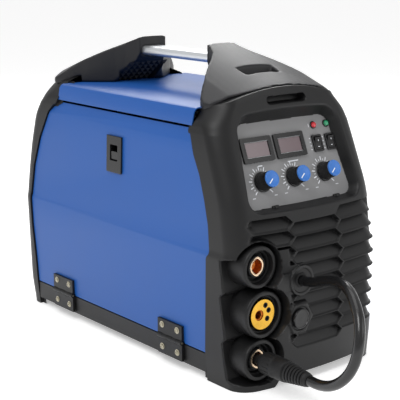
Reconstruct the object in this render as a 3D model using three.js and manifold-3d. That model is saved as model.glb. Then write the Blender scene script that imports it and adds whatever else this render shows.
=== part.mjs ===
// Portable inverter welder with an enclosed wire feeder, as an assembly of separate pieces.
// Frame: millimetres, X to the right seen from the front, the front faces -Y, Z up,
// origin on the floor under the middle of the housing.
import * as THREE from "three";
import { mergeVertices } from "three/addons/utils/BufferGeometryUtils.js";
import Module from "manifold-3d";

const wasm = await Module();
wasm.setup();

// ---------------------------------------------------------------- driving dimensions
const LENGTH_HALF = 248;          // front and rear faces of the housing
const WALL = 3;                   // moulded bezel wall
const SHEET = 1.6;                // sheet metal
const GAP = 0.4;                  // assembly gap between neighbouring pieces
const CORNER = 26;                // vertical corner radius of the bezels
const BOW = 12;                   // the end faces bulge this much over the half width
const DECK_CROWN = 15;            // fall of the bezel top from its middle to x = 90
const DECK_Z = 344.6;             // top of the bezels at the middle
const COVER_Z = 325;              // top of the sheet metal cover
const PANEL_TILT = 22.3 * Math.PI / 180;  // the control panel leans back
const PANEL_O = [0, -193.9, 258];         // middle of the control panel face
const WIRE_LINE = [-78, 91];      // x and z of the wire line through the torch socket
const DINSE_UP = [-85, 149];
const DINSE_LOW = [-82.5, 36.5];
const SOCKET_FACE = -236;
const DISH_Y = -206;              // recessed wall the socket collars stand on
const GLAND = [-29, 126];
const CAP = [-31, 80];
const DOOR_HINGE = [-116.5, 35.4];  // x and z of the door hinge axis
const HINGES = { rear: 135, front: -108 };  // y of the hinge centres
const KNUCKLE = 3.4;
const HINGE_OUT = 3.4;
const SPOOL_R = 100;              // standard 200 mm wire spool
const SPOOL_WIDTH = 55;
const WOUND_R = 96;               // outside of the wire on a full spool
const SPOOL_AT = [-65.5, 62, 187];
const FAN_AT = [38, 196, 150];
const FAN_R = 52;
const CABLE_R = 6;

// half width of the sheet metal sides against height, with the crease at z = 157
const SIDE = [[14, 112.6], [34, 113.4], [157, 117.6], [163, 116.2], [283, 112], [300, 107]];
// half width of the bezels against height
const BEZEL_W = [[0, 112], [34, 115.8], [157, 120], [165, 118.6], [283, 114.4], [305, 112.4],
  [317, 111.4], [326, 107.5], [336, 101], [346, 94]];
// y of the end faces at the middle of the width, against height
const FRONT_Y = [[0, -246], [60, -247.2], [125, -247.2], [154, -245], [190, -238], [214, -232.8],
  [225, -229.2], [346, -179.3]];
const REAR_Y = [[0, 244.6], [44, 248.8], [164, 248.8], [201, 243], [238, 236], [278, 225], [305, 207],
  [329, 192], [346, 182]];
// edge of the bezel where it meets the sheets
const FRONT_EDGE = [[0, -174], [33, -174], [155, -180], [161, -185], [193, -181], [221, -173],
  [249, -163], [271, -151], [287, -146], [298, -142], [304, -143], [327, -149], [350, -149]];
const REAR_EDGE = [[0, 206], [34, 206], [73, 208], [117, 212], [159, 212], [206, 204], [247, 189],
  [285, 167], [295, 156], [301, 148], [327, 141], [350, 141]];

// ---------------------------------------------------------------- geometry helpers
function interp(table, t) {
  if (t <= table[0][0]) return table[0][1];
  for (let i = 1; i < table.length; i++) {
    if (t <= table[i][0]) {
      const [a, va] = table[i - 1], [b, vb] = table[i];
      return va + (vb - va) * (t - a) / (b - a);
    }
  }
  return table[table.length - 1][1];
}

function solid(geometry) {
  const g = geometry.clone();
  g.deleteAttribute("normal");
  g.deleteAttribute("uv");
  const m = mergeVertices(g, 1e-4);
  return new wasm.Manifold(new wasm.Mesh({
    numProp: 3, vertProperties: m.attributes.position.array, triVerts: m.index.array,
  }));
}

function geometryOf(s) {
  const mesh = s.getMesh();
  const g = new THREE.BufferGeometry();
  g.setAttribute("position", new THREE.BufferAttribute(new Float32Array(mesh.vertProperties), 3));
  g.setIndex(new THREE.BufferAttribute(new Uint32Array(mesh.triVerts), 1));
  g.computeVertexNormals();
  return g;
}

const join = (...s) => s.reduce((a, b) => a.add(b));
const cut = (a, ...s) => s.reduce((r, b) => r.subtract(b), a);

function box(x0, x1, y0, y1, z0, z1) {
  const g = new THREE.BoxGeometry(x1 - x0, y1 - y0, z1 - z0);
  g.translate((x0 + x1) / 2, (y0 + y1) / 2, (z0 + z1) / 2);
  return solid(g);
}

// cylinder or cone from point a to point b
function rod(a, b, r, sides = 24, r2 = r) {
  const A = new THREE.Vector3(...a), B = new THREE.Vector3(...b);
  const g = new THREE.CylinderGeometry(r2, r, A.distanceTo(B), sides);
  const dir = B.clone().sub(A).normalize();
  g.applyQuaternion(new THREE.Quaternion().setFromUnitVectors(new THREE.Vector3(0, 1, 0), dir));
  g.translate(...A.clone().add(B).multiplyScalar(0.5).toArray());
  return solid(g);
}

// body of revolution about the line through "at" along "dir"; profile is [radius, distance]
function turned(profile, at, dir, sides = 24) {
  const g = new THREE.LatheGeometry(profile.map(([r, d]) => new THREE.Vector2(r, d)), sides);
  const D = new THREE.Vector3(...dir).normalize();
  g.applyQuaternion(new THREE.Quaternion().setFromUnitVectors(new THREE.Vector3(0, 1, 0), D));
  g.translate(...at);
  return solid(g);
}

function extruded(points, depth, axes, origin) {
  const g = new THREE.ExtrudeGeometry(new THREE.Shape(points.map(([a, b]) => new THREE.Vector2(a, b))),
    { depth, bevelEnabled: false });
  const m = new THREE.Matrix4().makeBasis(...axes.map((v) => new THREE.Vector3(...v)));
  g.applyMatrix4(m.setPosition(...origin));
  return solid(g);
}
const prismX = (yz, x0, x1) => extruded(yz, x1 - x0, [[0, 1, 0], [0, 0, 1], [1, 0, 0]], [x0, 0, 0]);
const prismY = (xz, y0, y1) => extruded(xz, y1 - y0, [[1, 0, 0], [0, 0, 1], [0, -1, 0]], [0, y1, 0]);
const prismZ = (xy, z0, z1) => extruded(xy, z1 - z0, [[1, 0, 0], [0, 1, 0], [0, 0, 1]], [0, 0, z0]);

// solid through a stack of rings with the same number of points, counter-clockwise seen from the end
function loft(rings) {
  const n = rings[0].length, pos = [], idx = [];
  for (const ring of rings) for (const p of ring) pos.push(...p);
  for (let k = 0; k + 1 < rings.length; k++) {
    for (let i = 0; i < n; i++) {
      const a = k * n + i, b = k * n + (i + 1) % n;
      idx.push(a, b, b + n, a, b + n, a + n);
    }
  }
  const cap = (k, flip) => {
    const c = pos.length / 3, mid = [0, 0, 0];
    for (const p of rings[k]) p.forEach((v, j) => { mid[j] += v / n; });
    pos.push(...mid);
    for (let i = 0; i < n; i++) {
      const a = k * n + i, b = k * n + (i + 1) % n;
      idx.push(...(flip ? [c, b, a] : [c, a, b]));
    }
  };
  cap(0, true);
  cap(rings.length - 1, false);
  const g = new THREE.BufferGeometry();
  g.setAttribute("position", new THREE.BufferAttribute(new Float32Array(pos), 3));
  g.setIndex(idx);
  return solid(g);
}

function rounded(w, h, r, steps = 5, cx = 0, cy = 0) {
  const pts = [];
  for (const [sx, sy, start] of [[1, 1, 0], [-1, 1, 1], [-1, -1, 2], [1, -1, 3]]) {
    for (let i = 0; i <= steps; i++) {
      const a = (start + i / steps) * Math.PI / 2;
      pts.push([cx + sx * (w / 2 - r) + r * Math.cos(a), cy + sy * (h / 2 - r) + r * Math.sin(a)]);
    }
  }
  return pts;
}

// ---------------------------------------------------------------- control panel frame
// u runs to the right, v up the slope, d out of the panel
const PC = Math.cos(PANEL_TILT), PS = Math.sin(PANEL_TILT);
const panelPoint = (u, v, d) => [
  PANEL_O[0] + u, PANEL_O[1] + v * PS - d * PC, PANEL_O[2] + v * PC + d * PS];
const PANEL_NORMAL = [0, -PC, PS];
const panelPrism = (uv, d0, d1) => extruded(uv, d1 - d0,
  [[1, 0, 0], [0, PS, PC], [0, -PC, PS]], panelPoint(0, 0, d0));
const panelRod = (u, v, d0, d1, r, sides, r2) =>
  rod(panelPoint(u, v, d0), panelPoint(u, v, d1), r, sides, r2);

// ---------------------------------------------------------------- bezel outlines
const LEVELS = [0, 34, 125, 157, 165, 195, 225, 255, 285, 305, 317, 326, 346];

// plan outline at height z, shrunk by "inset", open end at y = back; end = -1 front, 1 rear
function bezelRing(z, inset, end, back) {
  const w = interp(BEZEL_W, z) - inset;
  const mid = (end < 0 ? -interp(FRONT_Y, z) : interp(REAR_Y, z)) - inset;
  const face = (x) => mid - BOW * (x / 110) ** 2;
  const r = CORNER - inset, pts = [];
  const flat = w - r;
  for (let i = -3; i <= 3; i++) pts.push([flat * i / 3, face(flat * i / 3)]);
  for (let i = 1; i <= 4; i++) {
    const a = Math.PI / 2 * i / 4;
    pts.push([flat + r * Math.sin(a), face(flat) - r * (1 - Math.cos(a))]);
  }
  pts.push([w, back]);
  const half = pts.slice(7);
  const left = half.map(([x, y]) => [-x, y]).reverse();
  const ring = [...left, ...pts].map(([x, y]) => [x, end * y, z]);
  return end < 0 ? ring : ring.reverse();
}

function bezelSolid(inset, end, back, low = 0) {
  const zs = LEVELS.map((z) => (z === 0 ? low : z));
  return loft(zs.map((z) => bezelRing(z, inset, end, back)));
}

// everything below the crowned top of the bezels, lowered by "drop"
function underDeck(drop) {
  const pts = [[130, -20], [130, 300]];
  for (let i = 12; i >= -12; i--) {
    const x = i * 10;
    pts.push([x, DECK_Z - drop - DECK_CROWN * (x / 90) ** 2]);
  }
  pts.push([-130, 300], [-130, -20]);
  return prismY(pts.reverse(), -300, 300);
}

// side view region of a bezel, outward of its edge; shift moves the edge outward
function edgeRegion(table, shift) {
  const out = Math.sign(table[0][1]) * 300;
  const pts = table.map(([z, y]) => [y + Math.sign(out) * shift, z]);
  const all = [[out, -20], [pts[0][0], -20], ...pts, [out, 350]];
  return prismX(out < 0 ? all.reverse() : all, -140, 140);
}

// ---------------------------------------------------------------- front bezel
const WINDOW_FACE = [[-84, 61], [84, 61], [97, -63], [-97, -63]];
const WINDOW_FLOOR = [[-77, 52], [77, 52], [88, -50], [-88, -50]];

// trapezoid with rounded corners in the panel plane
function windowRing(corners, grow, r, d) {
  const ring = [], n = corners.length;
  for (let k = 0; k < n; k++) {
    const p = new THREE.Vector2(...corners[k]);
    const sx = Math.sign(p.x), sy = Math.sign(p.y);
    const c = new THREE.Vector2(p.x + sx * grow - sx * r, p.y + sy * grow - sy * r);
    const start = { "-11": 1, "11": 0, "1-1": 3, "-1-1": 2 }[`${sx}${sy}`];
    for (let i = 0; i <= 5; i++) {
      const a = (start + 1 - i / 5) * Math.PI / 2;
      ring.push(panelPoint(c.x + r * Math.cos(a), c.y + r * Math.sin(a), d));
    }
  }
  return ring.reverse();
}
function windowTunnel(grow, d0, d1) {
  const at = (d) => WINDOW_FLOOR.map((p, i) =>
    [0, 1].map((j) => p[j] + (WINDOW_FACE[i][j] - p[j]) * d / 20));
  return loft([windowRing(at(d0), grow, 20 + grow, d0), windowRing(at(d1), grow, 20 + grow, d1)]);
}

// wedge-bottomed bays that set the socket corner back from the face
const DISH_END = -68;              // right end of the dish, behind the collars

function socketDish(grow) {
  const bays = [[160, DISH_Y], [118, DISH_Y - 9], [117, DISH_Y + 3], [62, DISH_Y - 7],
    [61, DISH_Y], [9, DISH_Y - 9]];
  const pts = bays.map(([z, y], i) => [y + grow, z + (i === 0 ? grow : i === 5 ? -grow : 0)]);
  const end = DISH_END + grow;
  const region = prismX([...pts, [-300, 9 - grow], [-300, 160 + grow]].reverse(), -140, end);
  const slope = prismZ([[end, -199], [end, -260], [end + 4, -260]], -10, 200);
  return region.subtract(slope);
}

const COLLARS = [[DINSE_UP, 25, 20.2], [WIRE_LINE, 28.5, 23.4], [DINSE_LOW, 25, 20.2]];
const bossAt = ([x, z], r, sides) =>
  rod([x, -LENGTH_HALF, z], [x, DISH_Y + 12, z], r, sides);

// six-sided louvre slots in three columns; neighbouring columns are half a pitch apart
const LOUVRE = { pitch: 16.9, half: 5.2, point: 5, topOuter: 177.1, topMiddle: 185.5, count: 8 };

function louvreSlots() {
  const { pitch, half, point, topOuter, topMiddle, count } = LOUVRE, slots = [];
  const add = (x0, x1, z, left = point) => slots.push(prismY([
    [x0, z], [x0 + left, z - half], [x1 - point, z - half], [x1, z], [x1 - point, z + half],
    [x0 + left, z + half]], -280, -204));
  for (let k = -1; k < count; k++) add(40, 150, topOuter - k * pitch);
  for (let k = 0; k < count; k++) {
    const z = topMiddle - k * pitch;
    const start = Math.abs(z - GLAND[1]) < 16 ? -8 : Math.abs(z - CAP[1]) < 16 ? -12 : -36;
    add(start, 39, z);
  }
  for (const z of [topOuter + pitch, topOuter]) add(-90, -38, z, 8);
  return join(...slots);
}

function frontBezel() {
  const outer = bezelSolid(0, -1, 110);
  const shellCore = bezelSolid(2.2, -1, 100, -5);
  const grooves = louvreSlots().subtract(shellCore);
  const collars = COLLARS.map(([[x, z], r]) => rod([x, SOCKET_FACE, z], [x, DISH_Y + 6, z], r, 24));
  const bosses = [bossAt(GLAND, 15.5, 24), bossAt(CAP, 17.5, 6)];
  let skin = cut(outer, grooves, socketDish(0));
  skin = join(skin, ...collars, ...bosses).intersect(underDeck(0));
  const cavity = cut(bezelSolid(WALL, -1, 90, -5), socketDish(WALL));
  let shell = skin.subtract(cavity.intersect(underDeck(WALL)));
  shell = shell.add(windowTunnel(WALL, 0.3, 22).intersect(outer));
  shell = shell.subtract(windowTunnel(0, -1, 60));
  shell = shell.subtract(prismY(rounded(62, 8, 3.9, 4, 0, 330), -260, -160));   // grip slot
  for (const [[x, z], , bore] of COLLARS) {
    shell = shell.subtract(rod([x, -260, z], [x, -150, z], bore, 24));
  }
  shell = shell.subtract(rod([GLAND[0], -260, GLAND[1]], [GLAND[0], -150, GLAND[1]], 9.4, 16));
  shell = shell.subtract(rod([CAP[0], -260, CAP[1]], [CAP[0], -150, CAP[1]], 12.4, 20));
  const arch = prismY([[-66, -5], [-54, 11], [78, 11], [90, -5]].reverse(), -270, -190);
  shell = shell.subtract(arch).subtract(box(-130, 130, -300, -150, -10, 0.02));
  return shell.intersect(edgeRegion(FRONT_EDGE, GAP));
}

// ---------------------------------------------------------------- rear bezel
const REAR_OPENING = [190, 196, 18, 148];     // width, height, corner radius, middle height

function rearBezel() {
  const outer = bezelSolid(0, 1, 110).intersect(underDeck(0));
  const cavity = bezelSolid(WALL, 1, 90, -5).intersect(underDeck(WALL));
  let shell = outer.subtract(cavity);
  const [w, h, r, z] = REAR_OPENING;
  shell = shell.subtract(prismY(rounded(w, h, r, 5, 0, z), 150, 270));
  const frame = prismY(rounded(w + 6, h + 6, r + 3, 5, 0, z), 218, 246)
    .subtract(prismY(rounded(w, h, r, 5, 0, z), 210, 270)).intersect(outer);
  shell = shell.add(frame);
  const arch = prismY([[-84, -5], [-72, 10], [72, 10], [84, -5]].reverse(), 190, 270);
  shell = shell.subtract(arch);
  return shell.intersect(edgeRegion(REAR_EDGE, GAP));
}

// ---------------------------------------------------------------- handle brackets and bar
const HORN_PLAN = [[0, 22], [6, 23.5], [20, 30], [31, 41], [42, 55], [54, 69], [68, 83], [80, 92.5], [88, 95],
  [96, 92], [104, 82], [110, 66], [114, 44], [116, 0]];

// bracket that rises from the bezel deck to a tip over the cover; end = -1 front, 1 rear
function handleBracket(end, tip) {
  const place = (pts) => (end < 0 ? pts.map(([x, y]) => [x, y]) : pts.map(([x, y]) => [x, -y]).reverse());
  const right = HORN_PLAN.map(([d, hw]) => [hw, tip - d]);
  const left = right.slice(0, -1).map(([x, y]) => [-x, y]).reverse();
  const plan = [...right, ...left].reverse();
  const body = prismZ(place(plan), COVER_Z + 0.4, 400);
  const rise = 0.372, base = tip - 113;
  const rings = [tip + 5, base - 8].map((y) => {
    const ring = [[-130, 300], [130, 300]];
    for (let i = 13; i >= -13; i--) {
      const x = i * 10;
      const crown = DECK_CROWN * (x / 90) ** 2 * (y > tip ? 1.2 : 1);
      ring.push([x, DECK_Z + 1.6 + rise * (y - base) - crown]);
    }
    return ring.map(([x, z]) => [x, -end * y, z]);
  });
  const top = loft(end < 0 ? rings : rings.reverse());
  const under = prismX(place([[tip + 20, 300], [tip - 46, 300], [tip - 46, COVER_Z], [tip - 6, 355],
    [tip + 4, 372], [tip + 20, 372]].map(([y, z]) => [z, y])).map(([z, y]) => [y, z]), -36, 24);
  const outerLegs = prismX(place([[tip + 20, 300], [tip - 34, 300], [tip - 34, COVER_Z], [tip + 2, 356],
    [tip + 20, 356]].map(([y, z]) => [z, y])).map(([z, y]) => [y, z]), -130, 130);
  let horn = cut(body.intersect(top), under, outerLegs);
  const clear = bezelSolid(-GAP, end, 100, -5).intersect(underDeck(-GAP))
    .intersect(edgeRegion(end < 0 ? FRONT_EDGE : REAR_EDGE, -0.2));
  horn = horn.subtract(clear);
  return horn;
}

const BAR = { y0: -92, y1: 108, w: 34, h: 12, z: 369 };
const barSection = (grow) => rounded(BAR.w + 2 * grow, BAR.h + 2 * grow, 4.5 + grow, 4, 0, BAR.z);
const handleBar = () => prismY(barSection(0), BAR.y0, BAR.y1);
const barBore = () => prismY(barSection(GAP), BAR.y0 - 2, BAR.y1 + 2);

// finger pocket in the top of the front bracket, wider at its mouth
const POCKET = [
  { z: 346, x0: -24, x1: 24, y0: -142, y1: -128 },
  { z: 372, x0: -31, x1: 31, y0: -145, y1: -124.5 },
];

function frontBracket() {
  const pocket = loft(POCKET.map(({ z, x0, x1, y0, y1 }) =>
    [[x0, y0, z], [x1, y0, z], [x1, y1, z], [x0, y1, z]]));
  return cut(handleBracket(-1, -63), pocket, barBore());
}
const rearBracket = () => cut(handleBracket(1, -79), barBore());

// ---------------------------------------------------------------- sheet metal
// vertical strip that follows the side profile; side = -1 or 1, out = outer offset
function sideRibbon(side, z0, z1, out, thick, y0, y1) {
  const zs = [z0, ...SIDE.map((p) => p[0]).filter((z) => z > z0 + 1 && z < z1 - 1), z1];
  const outer = zs.map((z) => [side * (interp(SIDE, z) + out), z]);
  const inner = zs.map((z) => [side * (interp(SIDE, z) + out - thick), z]).reverse();
  const pts = [...outer, ...inner];
  return prismY(side < 0 ? pts : pts.reverse(), y0, y1);
}

// side view of the sheets between the bezels, "grow" longer at each end
function sideView(z0, z1, grow) {
  const zs = (t) => [z0, ...t.map((p) => p[0]).filter((z) => z > z0 + 1 && z < z1 - 1), z1];
  const f = zs(FRONT_EDGE).map((z) => [interp(FRONT_EDGE, z) - grow, z]);
  const r = zs(REAR_EDGE).map((z) => [interp(REAR_EDGE, z) + grow, z]).reverse();
  return prismX([...f, ...r].reverse(), -140, 140);
}

// clearance round the hinge knuckles, taken out of the door and the pan edge
const knuckleRoom = () => Object.values(HINGES).map((y) =>
  rod([DOOR_HINGE[0], y - 25, DOOR_HINGE[1]], [DOOR_HINGE[0], y + 25, DOOR_HINGE[1]], KNUCKLE + 0.8, 20));

const LATCH = { y: 8.5, z: 248.5, w: 32, h: 47 };

function sideDoor() {
  const skin = sideRibbon(-1, 35, 300, 0, SHEET, -210, 230).intersect(sideView(35, 300, -0.6));
  const hole = box(-125, -100, LATCH.y - 12, LATCH.y + 12, LATCH.z - 19, LATCH.z + 19);
  return cut(skin, hole, ...knuckleRoom());
}

const rightSide = () =>
  sideRibbon(1, 34.5, 302, 0, SHEET, -210, 230).intersect(sideView(34.5, 302, -0.6));

function topCover() {
  const w = 110, t = SHEET;
  const outline = [[-w, 303.5], [-w, 320], [-w + 2, 323.6], [-w + 5, COVER_Z], [w - 5, COVER_Z],
    [w - 2, 323.6], [w, 320], [w, 303.5], [w - t, 303.5], [w - t, 319.6], [w - 3.2, 322.4],
    [w - 5.6, COVER_Z - t], [-w + 5.6, COVER_Z - t], [-w + 3.2, 322.4], [-w + t, 319.6], [-w + t, 303.5]];
  return prismY(outline, -210, 230).intersect(sideView(303, 330, -0.6));
}

function basePan() {
  const skirt = [-1, 1].map((s) => sideRibbon(s, 10, 33.8, 0.4, 2, -210, 230));
  const floor = join(box(-112, 112, -173, 205.4, 12, 14), box(-108, 108, -196, -172, 12, 14));
  const side = join(...skirt).intersect(sideView(5, 33.8, -0.6));
  const frontLip = box(-100, 100, -196, -194, 12, 30);
  const rearLip = box(-111, 111, 203.4, 205.4, 12, 30);
  return cut(join(side, floor, frontLip, rearLip), ...knuckleRoom());
}

const foot = (x, y) => turned([[0, 0], [9, 0], [11, 2], [12, 11.6], [0, 11.6]], [x, y, 0], [0, 0, 1], 16);

// ---------------------------------------------------------------- door hinges and latch

function hinge(y, name) {
  const [hx, hz] = DOOR_HINGE, w = 24, pin = 1.3;
  const bands = [[-w, -14.2], [-13.8, -5], [-4.6, 4.6], [5, 13.8], [14.2, w]];
  const leaf = (up) => {
    const z0 = up ? hz + 0.6 : 12, z1 = up ? 57 : hz - 0.6;
    const out = -interp(SIDE, up ? 57 : 34) - (up ? 0.3 : 0.7);
    let s = prismY(rectXZ(out - HINGE_OUT, out, z0, z1), y - w, y + w);
    const keep = bands.filter((_, i) => (i % 2 === 0) === !up);
    const lose = bands.filter((_, i) => (i % 2 === 0) === up);
    for (const [a, b] of keep) s = s.add(rod([hx, y + a, hz], [hx, y + b, hz], KNUCKLE, 14));
    for (const [a, b] of lose) {
      s = s.subtract(rod([hx, y + a - 0.4, hz], [hx, y + b + 0.4, hz], KNUCKLE + 0.5, 14));
    }
    s = s.subtract(rod([hx, y - w - 1, hz], [hx, y + w + 1, hz], pin + 0.3, 12));
    return s.subtract(prismY(rectXZ(out, -90, 0, 70), y - w - 1, y + w + 1));
  };
  return {
    [`${name}_hinge_door_leaf`]: leaf(true),
    [`${name}_hinge_base_leaf`]: leaf(false),
    [`${name}_hinge_pin`]: rod([hx, y - w, hz], [hx, y + w, hz], pin, 12),
  };
}
const rectXZ = (x0, x1, z0, z1) => [[x0, z0], [x1, z0], [x1, z1], [x0, z1]];

function latchHousing() {
  const { y, z, w, h } = LATCH;
  const x = -interp(SIDE, z);
  const out = (zz) => -interp(SIDE, zz) - 0.3;
  const rim = prismY([[out(z - h / 2) - 2.6, z - h / 2], [out(z - h / 2), z - h / 2],
    [out(z + h / 2), z + h / 2], [out(z + h / 2) - 2.6, z + h / 2]], y - w / 2, y + w / 2);
  const cup = box(x - 1, x + 12, y - 11.6, y + 11.6, z - 18.6, z + 18.6);
  const pocket = box(x - 10, x + 9.5, y - 8, y + 8, z - 8, z + 12);
  return join(rim, cup).subtract(pocket).subtract(box(x + 5, x + 20, y - 6, y + 6, z - 3, z + 14));
}
function latchSlider() {
  const { y, z } = LATCH, x = -interp(SIDE, z);
  const tongue = prismX(rounded(15, 10, 3, 4, y, z - 1.5), x - 1.6, x + 3);
  const stem = box(x + 2.8, x + 14.6, y - 5, y + 5, z - 2.4, z + 3.5);
  const hook = box(x + 12.6, x + 14.6, y - 5, y + 5, z - 2.4, z + 24);
  return join(tongue, stem, hook);
}

// ---------------------------------------------------------------- control panel pieces
const PANEL_T = 2;
const DISPLAYS = { current: -49.5, voltage: 3 };
const DISPLAY = { v: 17.5, w: 48, h: 30 };
const SWITCHES = { mode: 49, trigger: 71 };
const SWITCH = { v: 14.5, w: 15.5, h: 21 };
const LAMPS = { warning: 49.5, power: 71 };
const LAMP_V = 37.6;
const KNOBS = { wire_speed: -53.5, voltage: -3, inductance: 48 };
const KNOB_V = -21;

function controlPanel() {
  let s = panelPrism(rounded(186, 112, 12, 4, 0, 1), -PANEL_T, 0);
  for (const u of Object.values(DISPLAYS)) {
    s = s.subtract(panelPrism(rounded(DISPLAY.w - 3.4, DISPLAY.h - 3.4, 1, 2, u, DISPLAY.v), -5, 5));
  }
  for (const u of Object.values(SWITCHES)) {
    s = s.subtract(panelPrism(rounded(SWITCH.w - 1.4, SWITCH.h - 1.4, 1, 2, u, SWITCH.v), -5, 5));
  }
  for (const u of Object.values(LAMPS)) s = s.subtract(panelRod(u, LAMP_V, -5, 5, 3.1, 14));
  for (const u of Object.values(KNOBS)) s = s.subtract(panelRod(u, KNOB_V, -5, 5, 4, 14));
  return s;
}

function displayBezel(u) {
  const { v, w, h } = DISPLAY;
  const flange = panelPrism(rounded(w, h, 2, 3, u, v), 0.3, 3);
  const body = panelPrism(rounded(w - 4.2, h - 4.2, 1, 2, u, v), -8, 1);
  return cut(join(flange, body), panelPrism(rounded(w - 12, h - 8, 1, 2, u, v), 0.5, 9),
    panelPrism(rounded(w - 9, h - 7, 1, 2, u, v), -9, 0.6));
}
const displayWindow = (u) => join(
  panelPrism(rounded(DISPLAY.w - 9.8, DISPLAY.h - 7.8, 1, 2, u, DISPLAY.v), -6, 0.2),
  panelPrism(rounded(DISPLAY.w - 12.8, DISPLAY.h - 8.8, 1, 2, u, DISPLAY.v), 0.1, 2.2));

function switchFrame(u) {
  const { v, w, h } = SWITCH;
  return cut(join(panelPrism(rounded(w, h, 1.5, 3, u, v), 0.3, 2.4),
    panelPrism(rounded(w - 2.2, h - 2.2, 1, 2, u, v), -12, 1)),
  panelPrism(rounded(w - 4.4, h - 4.4, 0.6, 2, u, v), -10.5, 9));
}
// rocker that tilts by ROCKER_TILT either way about a line "up" in front of the panel
const ROCKER_TILT = 10 * Math.PI / 180;
function tilted(points, [pa, pb], angle) {
  const c = Math.cos(angle), n = Math.sin(angle);
  return points.map(([a, b]) => [pa + (a - pa) * c - (b - pb) * n, pb + (a - pa) * n + (b - pb) * c]);
}
function switchRocker(u) {
  const side = tilted([[-7.4, 3.7], [0, 2.4], [7.4, 3.7], [7.6, 0.5], [4.6, -6], [-4.6, -6], [-7.6, 0.5]],
    [0, 0.5], ROCKER_TILT);
  const half = (SWITCH.w - 5.4) / 2;
  return extruded(side, 2 * half, [[0, PS, PC], [0, -PC, PS], [1, 0, 0]],
    panelPoint(u - half, SWITCH.v, 0));
}

function lamp(u) {
  return join(panelRod(u, LAMP_V, -9, 1.2, 2.5, 14), panelRod(u, LAMP_V, 0.3, 1.4, 3.6, 16),
    panelRod(u, LAMP_V, 1.3, 3.2, 2.6, 20, 1.6));
}
function knob(u) {
  return join(panelRod(u, KNOB_V, 1, 3, 12.2, 24), panelRod(u, KNOB_V, 2.9, 17.6, 10.4, 40, 9.9),
    panelRod(u, KNOB_V, -9, 1.2, 3, 16));
}
const knobCap = (u) => cut(panelRod(u, KNOB_V, 18, 21, 9.9, 40, 9.4),
  panelPrism([[-0.6, 1], [0.6, 1], [0.6, 9.2], [-0.6, 9.2]].map(([a, b]) => {
    const t = 2.5;
    return [u + a * Math.cos(t) - b * Math.sin(t), KNOB_V + a * Math.sin(t) + b * Math.cos(t)];
  }), 20.4, 30));

// ---------------------------------------------------------------- sockets and lead
function socketBody([x, z], r, face, back, bore) {
  return rod([x, face, z], [x, back, z], r, 24).subtract(rod([x, face - 1, z], [x, back + 1, z], bore, 24));
}
// keyed copper bore: round with one pointed side
function keyedSection(r, n = 20) {
  const pts = [];
  for (let i = 0; i < n; i++) {
    const a = i / n * Math.PI * 2, lobe = Math.max(0, Math.cos(a - Math.PI / 2)) ** 6;
    pts.push([r * (1 + 0.2 * lobe) * Math.cos(a), r * (1 + 0.2 * lobe) * Math.sin(a)]);
  }
  return pts;
}
const dinseContact = ([x, z]) => cut(rod([x, -231, z], [x, -196, z], 10.4, 20),
  prismY(keyedSection(6.8).map(([a, b]) => [x + a, z + b]), -240, -204));

function euroContact() {
  const [x, z] = WIRE_LINE, R = 18;
  let s = rod([x, -233.5, z], [x, -188, z], R, 28);
  s = s.subtract(rod([x - 0.3 * R, -240, z], [x - 0.3 * R, -180, z], 0.36 * R, 20));
  for (const [a, b] of [[0.22, 0.58], [0.5, 0.2], [0.38, -0.34]]) {
    s = s.subtract(rod([x + a * R, -240, z + b * R], [x + a * R, -214, z + b * R], 0.14 * R, 12));
  }
  return s;
}

const PLUG_END = -316;
const plug = () => {
  const [x, z] = DINSE_LOW;
  const ribs = [[12, 54], [10.4, 54], [10.4, 57], [11.2, 57], [11.2, 62], [9.4, 62], [9.4, 65],
    [10, 65], [10, 70], [8, 71], [7.6, 80]];
  return turned([[0, -20], [6.2, -20], [6.2, 4.6], [9.6, 4.6], [9.6, 6], [12.6, 8], [13, 12], [13, 46],
    ...ribs, [0, 80]], [x, SOCKET_FACE, z], [0, -1, 0], 20);
};

function cableGland() {
  const [x, z] = GLAND;
  return turned([[6.4, -22], [9, -22], [9, 0], [8.6, 2.4], [7.2, 3], [6.4, 3]].concat([[6.4, -22]]),
    [x, -LENGTH_HALF + 3.4, z], [0, -1, 0], 16);
}

// centre line of the polarity lead, from inside the outlet to the plug
const LEAD = [[-29, -238, 126], [-29, -252, 126], [-31, -268, 129], [-35, -285, 135], [-41, -303, 141],
  [-47, -320, 145], [-54, -338, 146], [-61, -354, 142.5], [-69, -369, 134.5], [-76, -381, 123],
  [-82, -388, 109], [-86, -390, 94], [-88, -387, 78.5], [-88.5, -379, 64], [-88, -366.5, 51.5],
  [-86.5, -351, 42.5], [-84, -334, 37.5], [-82.5, -316.6, 36.5]];

function polarityCable() {
  const curve = new THREE.CatmullRomCurve3(LEAD.map((p) => new THREE.Vector3(...p)), false, "centripetal");
  const section = new THREE.Shape();
  section.absarc(0, 0, CABLE_R, 0, Math.PI * 2);
  const g = new THREE.ExtrudeGeometry(section, {
    steps: 36, curveSegments: 4, bevelEnabled: false, extrudePath: curve });
  return solid(g);
}

// ---------------------------------------------------------------- inside the wire compartment
const DIVIDER_X = -18;

const dividerPlate = () => box(DIVIDER_X, DIVIDER_X + 2, -176, 188, 14.4, 300)
  .intersect(join(box(-30, 0, -170, 188, 14, 262), box(-30, 0, -140, 140, 200, 301)))
  .subtract(rod([-30, -125, 75], [0, -125, 75], 19, 20));

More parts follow.
